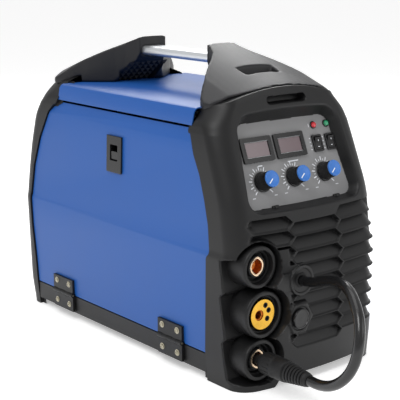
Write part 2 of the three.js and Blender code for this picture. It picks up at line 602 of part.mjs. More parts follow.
function wireSpool() {
  const [x, y, z] = SPOOL_AT, w = SPOOL_WIDTH / 2;
  const profile = [[25.6, -w], [SPOOL_R, -w], [SPOOL_R, -w + 3], [WOUND_R, -w + 4], [WOUND_R, w - 4],
    [SPOOL_R, w - 3], [SPOOL_R, w], [25.6, w], [25.6, -w]];
  return turned(profile, [x, y, z], [1, 0, 0], 28);
}
function spoolHub() {
  const [, y, z] = SPOOL_AT;
  return turned([[0, 0], [38, 0], [38, 3], [25, 5], [25, 16], [24.8, 72], [19, 76], [19, 80], [0, 80]],
    [DIVIDER_X - 0.4, y, z], [-1, 0, 0], 24);
}
const FEED_Y = -125;
function wireFeeder() {
  const [wx, wz] = WIRE_LINE;
  const block = box(-66, DIVIDER_X - 0.4, FEED_Y - 34, FEED_Y + 34, 46, 118);
  const motor = rod([DIVIDER_X - 2, FEED_Y, 75], [30, FEED_Y, 75], 18, 20);
  const guides = [[FEED_Y - 50, FEED_Y - 19], [FEED_Y + 19, FEED_Y + 42]].map(([a, b]) => join(
    rod([wx, a, wz], [wx, b, wz], 4, 14),
    box(wx, -64, Math.max(a, FEED_Y - 32), Math.min(b, FEED_Y + 32), wz - 6, wz + 3)));
  const axle = rod([-67, FEED_Y, 75], [-66 + 0.5, FEED_Y, 75], 6, 14);
  const pivot = box(-86, -64, FEED_Y + 25, FEED_Y + 33, wz + 5, wz + 17);
  const bracket = box(-72, -64, FEED_Y + 22, FEED_Y + 34, 70, wz + 14);
  let s = join(block, motor, axle, ...guides, bracket, pivot);
  s = s.subtract(rod([wx, -200, wz], [wx, -60, wz], 1.2, 12));
  s = s.subtract(rod([-100, FEED_Y + 29, wz + 17], [-63.5, FEED_Y + 29, wz + 17], 5.6, 14));
  return s.subtract(rod([-90, FEED_Y, 75], [-66.4, FEED_Y, 75], 6.4, 14)).subtract(
    rod([-95, FEED_Y, wz - 1 + 13], [-66.4, FEED_Y, wz - 1 + 13], 13, 16));
}
function driveRoll() {
  const profile = [[0, -8], [15.4, -8], [15.4, -1.2], [14.6, 0], [15.4, 1.2], [15.4, 8], [6, 8], [6, 13],
    [0, 13]];
  return turned(profile, [WIRE_LINE[0], FEED_Y, 75], [-1, 0, 0], 24);
}
function pressureArm() {
  const [wx, wz] = WIRE_LINE, z = wz + 17;
  const beam = box(wx - 5.5, wx + 5.5, FEED_Y - 30, FEED_Y + 27, z + 5.6, z + 13);
  const roll = rod([wx - 5, FEED_Y, z - 4.9], [wx + 5, FEED_Y, z - 4.9], 10.6, 20);
  const post = box(wx - 3, wx + 3, FEED_Y - 6, FEED_Y + 6, z, z + 8);
  const eye = rod([wx - 5.5, FEED_Y + 29, z], [wx + 5.5, FEED_Y + 29, z], 5.2, 14);
  const neck = box(wx - 5.5, wx + 5.5, FEED_Y + 24, FEED_Y + 31, z, z + 12);
  const screw = rod([wx, FEED_Y - 24, z + 12], [wx, FEED_Y - 24, z + 40], 7.5, 14);
  return join(beam, roll, post, eye, neck, screw);
}

// ---------------------------------------------------------------- power side and rear
function heatsink() {
  const base = box(0, 96, -150, 120, 60, 72);
  const fins = [];
  for (let i = 0; i < 9; i++) fins.push(box(2 + i * 11.2, 5 + i * 11.2, -150, 120, 71, 150));
  return join(base, ...fins).subtract(box(-5, 35, -150 + 2, -90, 50, 100));
}
function fanRotor() {
  const [x, y, z] = FAN_AT;
  let s = rod([x, y - 11, z], [x, y + 9, z], 19, 20);
  for (let i = 0; i < 7; i++) {
    const a = i / 7 * Math.PI * 2;
    const g = new THREE.BoxGeometry(FAN_R - 16, 2.4, 16);
    g.rotateX(0.7);
    g.translate(16 + (FAN_R - 16) / 2, 0, 0);
    g.rotateY(a);
    g.translate(x, y - 1, z);
    s = s.add(solid(g));
  }
  return s.intersect(rod([x, y - 12, z], [x, y + 12, z], FAN_R, 28));
}
const REAR_SWITCH = [-58, 208];
const MAINS = [-58, 128];
const GAS = [-58, 76];

function rearPanel() {
  const [w, h, r, zc] = REAR_OPENING;
  let s = prismY(rounded(w + 4, h + 4, r, 4, 0, zc), 214, 216);
  const [fx, , fz] = FAN_AT;
  const slots = [];
  for (const [rr, n] of [[17, 4], [32, 5], [46, 6]]) {
    for (let i = 0; i < n; i++) {
      const a0 = (i + 0.12) / n * Math.PI * 2, a1 = (i + 0.88) / n * Math.PI * 2, pts = [];
      for (let k = 0; k <= 4; k++) {
        const a = a0 + (a1 - a0) * k / 4;
        pts.push([fx + (rr - 5) * Math.cos(a), fz + (rr - 5) * Math.sin(a)]);
      }
      for (let k = 4; k >= 0; k--) {
        const a = a0 + (a1 - a0) * k / 4;
        pts.push([fx + (rr + 5) * Math.cos(a), fz + (rr + 5) * Math.sin(a)]);
      }
      slots.push(prismY(pts.reverse(), 205, 225));
    }
  }
  s = cut(s, ...slots, prismY(rounded(20.6, 38, 1, 3, ...REAR_SWITCH), 200, 230));
  s = s.subtract(rod([MAINS[0], 200, MAINS[1]], [MAINS[0], 230, MAINS[1]], 12.6, 20));
  s = s.subtract(rod([GAS[0], 200, GAS[1]], [GAS[0], 230, GAS[1]], 8.6, 16));
  return s.add(rod([fx, 205.6, fz], [fx, 215, fz], 10.5, 20));   // fan motor
}
function powerSwitchRocker() {
  const [x, z] = REAR_SWITCH;
  const side = [[219, -17], [217, 0], [219, 17], [215.5, 17.4], [203, 10], [203, -10], [215.5, -17.4]];
  const shape = tilted(side, [215.5, 0], -8 * Math.PI / 180);
  return prismX(shape.map(([a, b]) => [a, z + b]), x - 9.8, x + 9.8);
}
const mainsGland = () => turned([[7, -16], [12.2, -16], [12.2, -0.4], [17, -0.4], [17, 7], [13.4, 9],
  [12.4, 20], [10, 24], [7, 24], [7, -16]], [MAINS[0], 216.8, MAINS[1]], [0, 1, 0], 20);
const gasInlet = () => turned([[2.6, -14], [8.2, -14], [8.2, -0.4], [12, -0.4], [12, 6], [8, 6], [8, 14],
  [5.6, 16], [4.4, 18], [5.4, 22], [4.2, 26], [2.6, 26], [2.6, -14]],
[GAS[0], 216.8, GAS[1]], [0, 1, 0], 20);

// ---------------------------------------------------------------- assembly
const machine = new THREE.Group();
machine.name = "inverter_welder";

const LOOKS = {
  black: [0x232326, 0.62, 0], blue: [0x4672b4, 0.42, 0.1], silver: [0xdcdfe3, 0.3, 0.9],
  grey: [0x7d7d7d, 0.6, 0], window: [0x76686c, 0.15, 0], cap: [0x5b9be0, 0.4, 0],
  red: [0xc8323c, 0.25, 0], green: [0x32966e, 0.25, 0], brass: [0xe6c850, 0.28, 1],
  copper: [0xb4683a, 0.4, 1], steel: [0xb8babc, 0.35, 0.9], rubber: [0x1a1a1b, 0.8, 0],
  plastic: [0x39393c, 0.5, 0], zinc: [0xa4a8aa, 0.45, 0.8],
};

function put(name, body, look) {
  const [color, roughness, metalness] = LOOKS[look];
  const mesh = new THREE.Mesh(geometryOf(body),
    new THREE.MeshStandardMaterial({ color, roughness, metalness }));
  mesh.name = name;
  machine.add(mesh);
}

put("front_bezel", frontBezel(), "black");
put("rear_bezel", rearBezel(), "black");
put("front_handle_bracket", frontBracket(), "black");
put("rear_handle_bracket", rearBracket(), "black");
put("handle_bar", handleBar(), "silver");
put("top_cover", topCover(), "blue");
put("right_side_panel", rightSide(), "blue");
put("base_pan", basePan(), "plastic");
put("foot_front_left", foot(-60, -150), "rubber");
put("foot_front_right", foot(60, -150), "rubber");
put("foot_rear_left", foot(-84, 186), "rubber");
put("foot_rear_right", foot(84, 186), "rubber");
put("side_door", sideDoor(), "blue");
for (const [name, y] of Object.entries(HINGES)) {
  for (const [n, s] of Object.entries(hinge(y, name))) put(n, s, n.endsWith("pin") ? "steel" : "black");
}
put("latch_housing", latchHousing(), "black");
put("latch_slider", latchSlider(), "black");
put("control_panel", controlPanel(), "grey");
for (const [n, u] of Object.entries(DISPLAYS)) {
  put(`${n}_display_bezel`, displayBezel(u), "black");
  put(`${n}_display_window`, displayWindow(u), "window");
}
for (const [n, u] of Object.entries(SWITCHES)) {
  put(`${n}_switch_frame`, switchFrame(u), "black");
  put(`${n}_switch_rocker`, switchRocker(u), "black");
}
put("warning_lamp", lamp(LAMPS.warning), "red");
put("power_lamp", lamp(LAMPS.power), "green");
for (const [n, u] of Object.entries(KNOBS)) {
  put(`${n}_knob`, knob(u), "black");
  put(`${n}_knob_cap`, knobCap(u), "cap");
}
put("positive_socket_body", socketBody(DINSE_UP, 19.8, -229, -196, 10.8), "rubber");
put("positive_socket_contact", dinseContact(DINSE_UP), "copper");
put("torch_socket_body", socketBody(WIRE_LINE, 23, -231, -192, 18.4), "rubber");
put("torch_socket_contact", euroContact(), "brass");
put("negative_socket_body", socketBody(DINSE_LOW, 19.8, -229, -196, 10.8), "rubber");
put("negative_socket_contact", dinseContact(DINSE_LOW), "copper");
put("remote_socket_cap", rod([CAP[0], -LENGTH_HALF + 0.2, CAP[1]], [CAP[0], -236, CAP[1]], 12, 20), "rubber");
put("cable_gland", cableGland(), "rubber");
put("polarity_cable", polarityCable(), "rubber");
put("polarity_plug", plug(), "rubber");
put("divider_plate", dividerPlate(), "zinc");
put("wire_spool", wireSpool(), "plastic");
put("spool_hub", spoolHub(), "plastic");
put("wire_feeder", wireFeeder(), "zinc");
put("drive_roll", driveRoll(), "steel");
put("pressure_arm", pressureArm(), "plastic");
put("inverter_heatsink", heatsink(), "zinc");
put("fan_rotor", fanRotor(), "rubber");
put("rear_panel", rearPanel(), "blue");
put("power_switch_rocker", powerSwitchRocker(), "black");
put("mains_cable_gland", mainsGland(), "rubber");
put("gas_inlet", gasInlet(), "brass");

export default machine;
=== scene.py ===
import math

import bmesh
import bpy
import numpy as np
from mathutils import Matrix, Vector


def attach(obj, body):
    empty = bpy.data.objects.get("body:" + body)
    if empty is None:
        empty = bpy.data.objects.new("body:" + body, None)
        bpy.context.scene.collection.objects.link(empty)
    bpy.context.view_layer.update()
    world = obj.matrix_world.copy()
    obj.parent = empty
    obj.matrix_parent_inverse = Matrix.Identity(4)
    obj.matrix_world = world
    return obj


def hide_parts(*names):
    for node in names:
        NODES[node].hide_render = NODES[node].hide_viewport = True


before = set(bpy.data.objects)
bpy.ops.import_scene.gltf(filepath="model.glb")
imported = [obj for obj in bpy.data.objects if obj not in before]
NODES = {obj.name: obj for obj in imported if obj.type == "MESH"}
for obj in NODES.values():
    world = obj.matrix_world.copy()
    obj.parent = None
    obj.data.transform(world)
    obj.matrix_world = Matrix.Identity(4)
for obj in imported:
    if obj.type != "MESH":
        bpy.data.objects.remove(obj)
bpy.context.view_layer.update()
MM = 0.001

# ------------------------------------------------------------------ camera
CAM_AT = Vector((-0.9077, -1.1394, 0.5076))
CAM_AZ, CAM_EL = math.radians(-39.1), math.radians(12.9)
LENS, SENSOR = 100.35, 36.0
back = Vector((math.sin(CAM_AZ) * math.cos(CAM_EL), -math.cos(CAM_AZ) * math.cos(CAM_EL), math.sin(CAM_EL)))
cam_data = bpy.data.cameras.new("camera")
cam_data.lens, cam_data.sensor_width = LENS, SENSOR
# the colours below are meant as seen, so no filmic curve is laid over them
bpy.context.scene.view_settings.view_transform = "Standard"
camera = bpy.data.objects.new("camera", cam_data)
bpy.context.scene.collection.objects.link(camera)
camera.location = CAM_AT
camera.rotation_mode = "QUATERNION"
camera.rotation_quaternion = (-back).to_track_quat("-Z", "Y")
bpy.context.scene.camera = camera


# ------------------------------------------------------------------ materials
def srgb(r, g, b):
    """Linear colour of an sRGB triple of 0 to 255."""
    return tuple(((c / 255 + 0.055) / 1.055) ** 2.4 if c > 10 else c / 255 / 12.92 for c in (r, g, b)) + (1,)


def material(name, color, rough=0.5, metal=0.0, grain=900.0, bump=0.05, shade=0.12, rough_var=0.08,
             coat=0.0, stretch=(1, 1, 1), spec=0.5, broad_scale=None):
    """Principled surface whose colour, roughness and height come from two noise scales."""
    m = bpy.data.materials.new(name)
    m.use_nodes = True
    nt = m.node_tree
    n, link = nt.nodes, nt.links.new
    p = n["Principled BSDF"]
    p.inputs["Metallic"].default_value = metal
    p.inputs["Coat Weight"].default_value = coat
    p.inputs["Coat Roughness"].default_value = 0.15
    p.inputs["Specular IOR Level"].default_value = spec
    tc = n.new("ShaderNodeTexCoord")
    mp = n.new("ShaderNodeMapping")
    mp.inputs["Scale"].default_value = stretch
    link(tc.outputs["Object"], mp.inputs["Vector"])
    fine = n.new("ShaderNodeTexNoise")
    fine.inputs["Scale"].default_value = grain
    fine.inputs["Detail"].default_value = 4
    broad = n.new("ShaderNodeTexNoise")
    broad.inputs["Scale"].default_value = 14 if broad_scale is None else broad_scale
    broad.inputs["Detail"].default_value = 3
    link(mp.outputs["Vector"], fine.inputs["Vector"])
    link(mp.outputs["Vector"], broad.inputs["Vector"])
    mix = n.new("ShaderNodeMix")
    mix.data_type = "RGBA"
    dark = tuple(c * (1 - shade) for c in color[:3]) + (1,)
    light = tuple(min(1, c * (1 + shade)) for c in color[:3]) + (1,)
    mix.inputs["A"].default_value = dark
    mix.inputs["B"].default_value = light
    both = n.new("ShaderNodeMath")
    both.operation = "ADD"
    both.use_clamp = True
    half = n.new("ShaderNodeMath")
    half.operation = "MULTIPLY_ADD"
    half.inputs[1].default_value = 0.4
    half.inputs[2].default_value = -0.2
    link(fine.outputs["Fac"], half.inputs[0])
    link(broad.outputs["Fac"], both.inputs[0])
    link(half.outputs["Value"], both.inputs[1])
    link(both.outputs["Value"], mix.inputs["Factor"])
    link(mix.outputs["Result"], p.inputs["Base Color"])
    rr = n.new("ShaderNodeMapRange")
    rr.inputs["To Min"].default_value = max(0.02, rough - rough_var)
    rr.inputs["To Max"].default_value = min(1, rough + rough_var)
    link(broad.outputs["Fac"], rr.inputs["Value"])
    link(rr.outputs["Result"], p.inputs["Roughness"])
    bp = n.new("ShaderNodeBump")
    bp.inputs["Strength"].default_value = bump
    bp.inputs["Distance"].default_value = 0.0004
    link(fine.outputs["Fac"], bp.inputs["Height"])
    link(bp.outputs["Normal"], p.inputs["Normal"])
    return m


M = {
    "black": material("black_moulding", srgb(17, 17, 18), 0.42, grain=1500, bump=0.3, shade=0.16, spec=0.32),
    "horn": material("bracket_moulding", srgb(22, 22, 25), 0.4, grain=1500, bump=0.3, shade=0.14, spec=0.38),
    "gloss": material("gloss_black", srgb(18, 18, 19), 0.2, grain=600, bump=0.05, shade=0.1, spec=0.4),
    "rubber": material("black_rubber", srgb(24, 24, 25), 0.55, grain=1100, bump=0.3, shade=0.2, spec=0.28),
    "cable": material("cable_jacket", srgb(20, 20, 21), 0.24, grain=500, bump=0.08, shade=0.15),
    "blue": material("blue_powder_coat", srgb(24, 78, 150), 0.42, grain=1300, bump=0.16, shade=0.04,
                     rough_var=0.04, spec=0.36),
    "silver": material("anodised_bar", srgb(226, 229, 232), 0.3, 0.85, grain=700, bump=0.05, shade=0.04,
                       stretch=(1, 0.04, 1)),
    "grey": material("panel_print", srgb(124, 124, 125), 0.5, grain=1200, bump=0.08, shade=0.03,
                     rough_var=0.03),
    "white": material("white_print", srgb(222, 225, 230), 0.6, grain=1000, bump=0.05, shade=0.03),
    "window": material("smoked_window", srgb(96, 80, 84), 0.14, grain=60, bump=0.01, shade=0.05, coat=0.5),
    "cap": material("blue_cap", srgb(44, 104, 180), 0.35, grain=900, bump=0.1, shade=0.05),
    "red": material("red_lens", srgb(200, 34, 46), 0.12, grain=300, bump=0.02, shade=0.1, coat=0.6),
    "green": material("green_lens", srgb(36, 146, 100), 0.12, grain=300, bump=0.02, shade=0.1, coat=0.6),
    # brass: the strong broad light and dark mottling (shade 0.4 at noise scale 55) is partly a turned look
    # and partly painted reflection, standing in for the bright and dark patches the brass shows from its
    # surroundings
    "brass": material("machined_brass_with_painted_reflection", srgb(206, 160, 62), 0.2, 1.0, grain=800, bump=0.05, shade=0.4,
                      broad_scale=55),
    "copper": material("bare_copper", srgb(184, 104, 40), 0.3, 0.85, grain=700, bump=0.08, shade=0.25),
    "tin": material("tinned_rim", srgb(240, 212, 180), 0.25, 0.8, grain=700, bump=0.05, shade=0.1),
    "steel": material("plated_screw", srgb(178, 172, 152), 0.28, 0.9, grain=900, bump=0.08, shade=0.2),
    "zinc": material("zinc_plate", srgb(168, 172, 174), 0.42, 0.8, grain=90, bump=0.05, shade=0.14),
    "plastic": material("spool_plastic", srgb(30, 30, 32), 0.4, grain=800, bump=0.1, shade=0.15),
    # near black, darker than the black moulding: painted shade for the insides of holes
    "painted_hole_shade": material("painted_shade_in_holes", srgb(6, 6, 7), 0.8, grain=600, bump=0.05, shade=0.3),
    "wire": material("copper_coated_wire", srgb(196, 112, 62), 0.3, 0.95, grain=900, bump=0.05, shade=0.2),
}


# ------------------------------------------------------------------ mesh helpers
def mark_sharp(mesh, angle=32):
    """Smooth faces, with the edges past the angle left sharp."""
    bm = bmesh.new()
    bm.from_mesh(mesh)
    limit = math.radians(angle)
    for f in bm.faces:
        f.smooth = True
    for e in bm.edges:
        e.smooth = not (len(e.link_faces) == 2 and e.calc_face_angle(0) > limit)
    bm.to_mesh(mesh)
    bm.free()


class Shape:
    """Vertices in millimetres and faces with a material each, gathered into one object."""

    def __init__(self):
        self.v, self.f, self.m = [], [], []

    def add(self, verts, faces, mat):
        k = len(self.v)
        self.v.extend([tuple(p) for p in verts])
        self.f.extend([tuple(i + k for i in f) for f in faces])
        self.m.extend([mat] * len(faces))
        return self

    def grid(self, pts, mat, close_u=False, keep=None):
        """pts is rows x columns x 3."""
        nv, nu = pts.shape[:2]
        cols = nu if close_u else nu - 1
        faces = []
        for r in range(nv - 1):
            for c in range(cols):
                if keep is not None and not keep[r, c]:
                    continue
                d = (c + 1) % nu
                faces.append((r * nu + c, r * nu + d, (r + 1) * nu + d, (r + 1) * nu + c))
        return self.add(pts.reshape(-1, 3), faces, mat)

    def lathe(self, profile, at, axis, mat, n=48):
        """profile is [radius, distance along axis]; a radius of 0 closes on the axis."""
        q = Vector((0, 0, 1)).rotation_difference(Vector(axis).normalized())
        verts, faces, rows = [], [], []
        for r, d in profile:
            if r < 1e-6:
                rows.append([len(verts)])
                verts.append(q @ Vector((0, 0, d)) + Vector(at))
            else:
                row = []
                for i in range(n):
                    a = 2 * math.pi * i / n
                    row.append(len(verts))
                    verts.append(q @ Vector((r * math.cos(a), r * math.sin(a), d)) + Vector(at))
                rows.append(row)
        for a, b in zip(rows, rows[1:]):
            for i in range(n):
                j = (i + 1) % n
                if len(a) == 1 and len(b) == 1:
                    continue
                if len(a) == 1:
                    faces.append((a[0], b[j], b[i]))
                elif len(b) == 1:
                    faces.append((a[i], a[j], b[0]))
                else:
                    faces.append((a[i], a[j], b[j], b[i]))
        return self.add(verts, faces, mat)

    def prism(self, pts, depth, axes, origin, mat, bevel=0.0):
        """Extruded outline; pts in the plane of axes[0], axes[1], pushed along axes[2]."""
        bm = bmesh.new()
        A, B, C = (Vector(a) for a in axes)
        O = Vector(origin)
        low = [bm.verts.new(O + A * a + B * b) for a, b in pts]
        face = bm.faces.new(low)
        out = bmesh.ops.extrude_face_region(bm, geom=[face])
        for v in out["geom"]:
            if isinstance(v, bmesh.types.BMVert):
                v.co += C * depth
        bmesh.ops.recalc_face_normals(bm, faces=bm.faces)
        if bevel:
            edges = [e for e in bm.edges if e.calc_face_angle(0) > math.radians(34)]
            bmesh.ops.bevel(bm, geom=edges, offset=bevel, segments=3, profile=0.5, affect="EDGES",
                            clamp_overlap=True)
        bm.verts.index_update()
        self.add([v.co[:] for v in bm.verts], [[v.index for v in f.verts] for f in bm.faces], mat)
        bm.free()
        return self

    def box(self, lo, hi, mat, bevel=0.5):
        (x0, y0, z0), (x1, y1, z1) = lo, hi
        return self.prism([(x0, y0), (x1, y0), (x1, y1), (x0, y1)], z1 - z0,
                          [(1, 0, 0), (0, 1, 0), (0, 0, 1)], (0, 0, z0), mat, bevel)

    def make(self, name, body, slot=None, sharp=32, replaces=()):
        mats = list(dict.fromkeys(self.m))
        mesh = bpy.data.meshes.new(name)
        mesh.from_pydata([[c * MM for c in p] for p in self.v], [], self.f)
        for k in mats:
            mesh.materials.append(M[k])
        index = {k: i for i, k in enumerate(mats)}
        mesh.polygons.foreach_set("material_index", [index[k] for k in self.m])
        mesh.validate()
        mark_sharp(mesh, sharp)
        o = bpy.data.objects.new(name, mesh)
        bpy.context.scene.collection.objects.link(o)
        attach(o, body)
        if replaces:
            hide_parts(*replaces)
        return o


def rounded(w, h, r, n=8, cx=0.0, cy=0.0):
    """Outline of a rectangle with round corners."""
    pts = []
    for sx, sy, start in ((1, 1, 0), (-1, 1, 1), (-1, -1, 2), (1, -1, 3)):
        for i in range(n + 1):
            a = (start + i / n) * math.pi / 2
            pts.append((cx + sx * (w / 2 - r) + r * math.cos(a), cy + sy * (h / 2 - r) + r * math.sin(a)))
    return pts


X, Y = (1, 0, 0), (0, 1, 0)
FRONT, LEFT, RIGHT, REAR = (0, -1, 0), (-1, 0, 0), X, Y

# the control panel's own frame: middle PO, up PV, outward PN
TILT = math.radians(22.3)
PC, PS = math.cos(TILT), math.sin(TILT)
PO = np.array([0, -193.9, 258.0])
PV, PN = (0, PS, PC), (0, -PC, PS)


def panel_point(u, v, d):
    """Point u across, v up and d out of the control panel."""
    return (u, PO[1] + v * PS - d * PC, PO[2] + v * PC + d * PS)


# ------------------------------------------------------------------ polarity lead
LEAD = [(-29, -238, 126), (-29, -252, 126), (-31, -268, 129), (-35, -285, 135), (-41, -303, 141),
        (-47, -320, 145), (-54, -338, 146), (-61, -354, 142.5), (-69, -369, 134.5), (-76, -381, 123),
        (-82, -388, 109), (-86, -390, 94), (-88, -387, 78.5), (-88.5, -379, 64), (-88, -366.5, 51.5),
        (-86.5, -351, 42.5), (-84, -334, 37.5), (-82.5, -316.6, 36.5)]
CABLE_D = 12.0


def catmull(points, steps=8):
    """Smooth curve through the points."""
    p = [np.array(q, float) for q in points]
    p = [2 * p[0] - p[1], *p, 2 * p[-1] - p[-2]]
    out = []
    for a, b, c, d in zip(p, p[1:], p[2:], p[3:]):
        for i in range(steps):
            t = i / steps
            out.append(0.5 * (2 * b + (c - a) * t + (2 * a - 5 * b + 4 * c - d) * t * t
                              + (3 * b - a - 3 * c + d) * t ** 3))
    out.append(p[-2])
    return np.array(out)


def tube(shape, path, radius, mat, n=20):
    """Closed tube along a path."""
    t = np.gradient(path, axis=0)
    t /= np.linalg.norm(t, axis=1)[:, None]
    side = np.array([1.0, 0, 0])
    rows = []
    for k in range(len(path)):
        side = side - t[k] * side.dot(t[k])
        side /= np.linalg.norm(side)
        up = np.cross(t[k], side)
        a = np.linspace(0, 2 * math.pi, n, endpoint=False)
        rows.append(path[k] + radius * (np.cos(a)[:, None] * side + np.sin(a)[:, None] * up))
    shape.grid(np.array(rows), mat, close_u=True)
    end = len(shape.v)
    start = end - len(path) * n
    shape.f += [tuple(range(start + n - 1, start - 1, -1)), tuple(range(end - n, end))]
    shape.m += [mat, mat]


lead_path = catmull(LEAD)
lead = Shape()
tube(lead, lead_path, CABLE_D / 2, "cable", 24)
lead = lead.make("polarity_lead", "housing", "rubber", 50, ("polarity_cable",))

# plug with a ribbed grip and a ribbed strain relief
SOCKET_Y = -236.0
PLUG_AT = (-82.5, SOCKET_Y, 36.5)
BOOT_RIBS, GRIP_RIBS = 7, 16


def lead_plug():
    s = Shape()
    grip = [(0, -20), (5.6, -20), (6.2, -19.4), (6.2, 4.4), (9.4, 4.6), (9.6, 5.4), (12.3, 7.4), (12.9, 9),
            (13, 12), (13, 26), (12.7, 27), (12.7, 30), (13, 31), (13, 44), (12.7, 45.5), (11.6, 46)]
    boot = [(11.6, 46)]
    for i in range(BOOT_RIBS):
        d, r = 47 + i * 4.2, 11.9 - i * 0.55
        boot += [(r - 1.7, d), (r - 1.7, d + 0.9), (r, d + 1.4), (r, d + 3.2), (r - 0.5, d + 3.8)]
    boot += [(7.9, 77), (7.6, 79), (6.6, 79.9), (0, 79.9)]
    s.lathe(grip, PLUG_AT, FRONT, "rubber", 48)
    s.lathe(boot, PLUG_AT, FRONT, "rubber", 40)
    for i in range(GRIP_RIBS):
        a = 2 * math.pi * i / GRIP_RIBS
        c, q = math.cos(a), math.sin(a)
        at = (PLUG_AT[0] + 12.6 * c, SOCKET_Y - 19, PLUG_AT[2] + 12.6 * q)
        s.prism(rounded(1.8, 12, 0.8, 3), 0.9, [(-q, 0, c), Y, (c, 0, q)], at, "rubber")
    return s.make("polarity_lead_plug", "housing", "rubber", 30, ("polarity_plug",))


plug = lead_plug()

# ------------------------------------------------------------------ housing outlines
# tables of [height, half width] and [height, y]
SIDE = [[14, 112.6], [34, 113.4], [157, 117.6], [163, 116.2], [283, 112], [300, 107]]
BEZEL_W = [[0, 112], [34, 115.8], [157, 120], [165, 118.6], [283, 114.4], [305, 112.4], [317, 111.4],
           [326, 107.5], [336, 101], [346, 94]]
FRONT_Y = [[0, -246], [60, -247.2], [125, -247.2], [154, -245], [190, -238], [214, -232.8], [225, -229.2],
           [346, -179.3]]
REAR_Y = [[0, 244.6], [44, 248], [164, 248], [201, 243], [238, 236], [278, 225], [305, 207], [329, 192],
          [346, 182]]
FRONT_EDGE = [[0, -174], [33, -174], [155, -180], [161, -185], [193, -181], [221, -173], [249, -163],
              [271, -151], [287, -146], [298, -142], [304, -143], [327, -149], [350, -149]]
REAR_EDGE = [[0, 206], [34, 206], [73, 208], [117, 212], [159, 212], [206, 204], [247, 189], [285, 167],
             [295, 156], [301, 148], [327, 141], [350, 141]]
CORNER, BOW, BOW_X, GAP = 26.0, 12.0, 110.0, 0.4
DECK_Z, CROWN, CROWN_X = 344.6, 15.0, 90.0
CORNER_STEPS, SIDE_STEPS = 26, 26
SQUEEZE_FROM = 296.0
FOOT_RAMP, FOOT_TOP = 12, 30


def soft(table, z, s=7.0):
    """Linear table, rounded over +-s."""
    t = np.array(table, float)
    z = np.asarray(z, float)
    return np.mean([np.interp(z + d, t[:, 0], t[:, 1]) for d in np.linspace(-s, s, 9)], axis=0)


def smin(a, b, k):
    h = np.clip(0.5 + 0.5 * (b - a) / k, 0, 1)
    return b + (a - b) * h - k * h * (1 - h)


def smax(a, b, k):
    return -smin(-a, -b, k)


def step(a, b, x):
    t = np.clip((x - a) / (b - a), 0, 1)
    return t * t * (3 - 2 * t)


def rbox(u, v, hw, hh, r):
    """Signed distance to a rounded rectangle."""
    qx, qy = np.abs(u) - hw + r, np.abs(v) - hh + r
    return np.hypot(np.maximum(qx, 0), np.maximum(qy, 0)) + np.minimum(np.maximum(qx, qy), 0) - r


def deck_height(x):
    return DECK_Z - CROWN * (x / CROWN_X) ** 2


def bezel_grid(end, front_table, edge_table, n_flat, n_z):
    """Outer skin of an end moulding: rows go up, columns go round from one side edge to the other.
    Returns points and outward plan normals."""
    pts, nor = [], []
    for z in np.linspace(0.3, 344.3, n_z):
        w = float(soft(BEZEL_W, z, 2.2 if 150 < z < 172 else 7))
        mid = abs(float(soft(front_table, z, 8)))
        edge = abs(float(soft(edge_table, z, 2.0))) + GAP
        flat = w - CORNER
        face = lambda x: mid - BOW * (x / BOW_X) ** 2
        mid_pts = [(x, face(x), 2 * BOW * x / BOW_X ** 2, 1.0) for x in np.linspace(-1, 1, n_flat) * flat]
        slope = math.atan(2 * BOW * flat / BOW_X ** 2)
        arc = []
        for i in range(1, CORNER_STEPS + 1):
            a = slope + (math.pi / 2 - slope) * i / CORNER_STEPS
            k = (math.sin(a) - math.sin(slope)) / (1 - math.sin(slope))
            y = face(flat) - CORNER * (math.cos(slope) - math.cos(a))
            arc.append((flat + CORNER * k, y, math.sin(a), math.cos(a)))
        y_end = arc[-1][1]
        side = [(w, y_end + (edge - y_end) * i / SIDE_STEPS, 1.0, 0.0) for i in range(1, SIDE_STEPS + 1)]
        half = arc + side
        row = [(-x, y, -nx, ny) for x, y, nx, ny in reversed(half)] + mid_pts + half
        pts.append([(x, end * y, z) for x, y, _, _ in row])
        nor.append([(nx, end * ny, 0) for _, _, nx, ny in row])
    P, N = np.array(pts), np.array(nor)
    N /= np.linalg.norm(N, axis=2)[:, :, None]
    # the top edge follows the crowned deck: squeeze the upper rows, keeping x and the lean of the face
    z = P[:, :, 2]
    top = deck_height(P[:, :, 0])
    z_new = np.where(z > SQUEEZE_FROM,
                     SQUEEZE_FROM + (z - SQUEEZE_FROM) * (top - SQUEEZE_FROM) / (DECK_Z - SQUEEZE_FROM), z)
    t = np.array(front_table, float)
    lean = np.interp(z_new, t[:, 0], t[:, 1]) - np.interp(z, t[:, 0], t[:, 1])
    P[:, :, 1] += lean * np.abs(N[:, :, 1])
    P[:, :, 2] = z_new
    return P, N


def deck_rows(top, inward):
    """Rolled edge round the top of a moulding, and the deck that runs in under the handle bracket."""
    rows = [top + inward * 2.0 * (1 - math.cos(a)) + np.array([0, 0, 0.3]) * math.sin(a)
            for a in np.linspace(0.25, 1, 4) * math.pi / 2]
    for reach in (6, 15, 28):
        row = rows[3] + inward * reach
        row[:, 2] = np.maximum(row[:, 2], deck_height(row[:, 0]))
        rows.append(row)
    return rows


def inner_flanges(shape, P, end):
    """Return of each side edge and the flange that lies behind the sheet metal."""
    for col, side in ((0, 1), (-1, -1)):
        rows = [P[:, col] + np.array([side * dx, -end * dy, 0])
                for dx, dy in ((0, 0), (2.0, -0.2), (4.4, 0.3), (4.6, 9))]
        shape.grid(np.stack(rows, 1), "black")


def foot_arch(x, z, left, right, height, on_face):
    """Heights of the lowest rows, lifted between the two feet."""
    lift = height * step(left, left + FOOT_RAMP, x) * step(right, right - FOOT_RAMP, x) * on_face
    return lift + z * (FOOT_TOP - lift) / FOOT_TOP


def inside_faces(hole):
    """Faces of the grid that have at least one corner outside the hole."""
    return ~(hole[:-1, :-1] & hole[1:, :-1] & hole[:-1, 1:] & hole[1:, 1:])


# half width and height over the panel's middle, at the window's top and bottom
WIN_TOP, WIN_BOT = (84.0, 61.0), (97.0, -63.0)


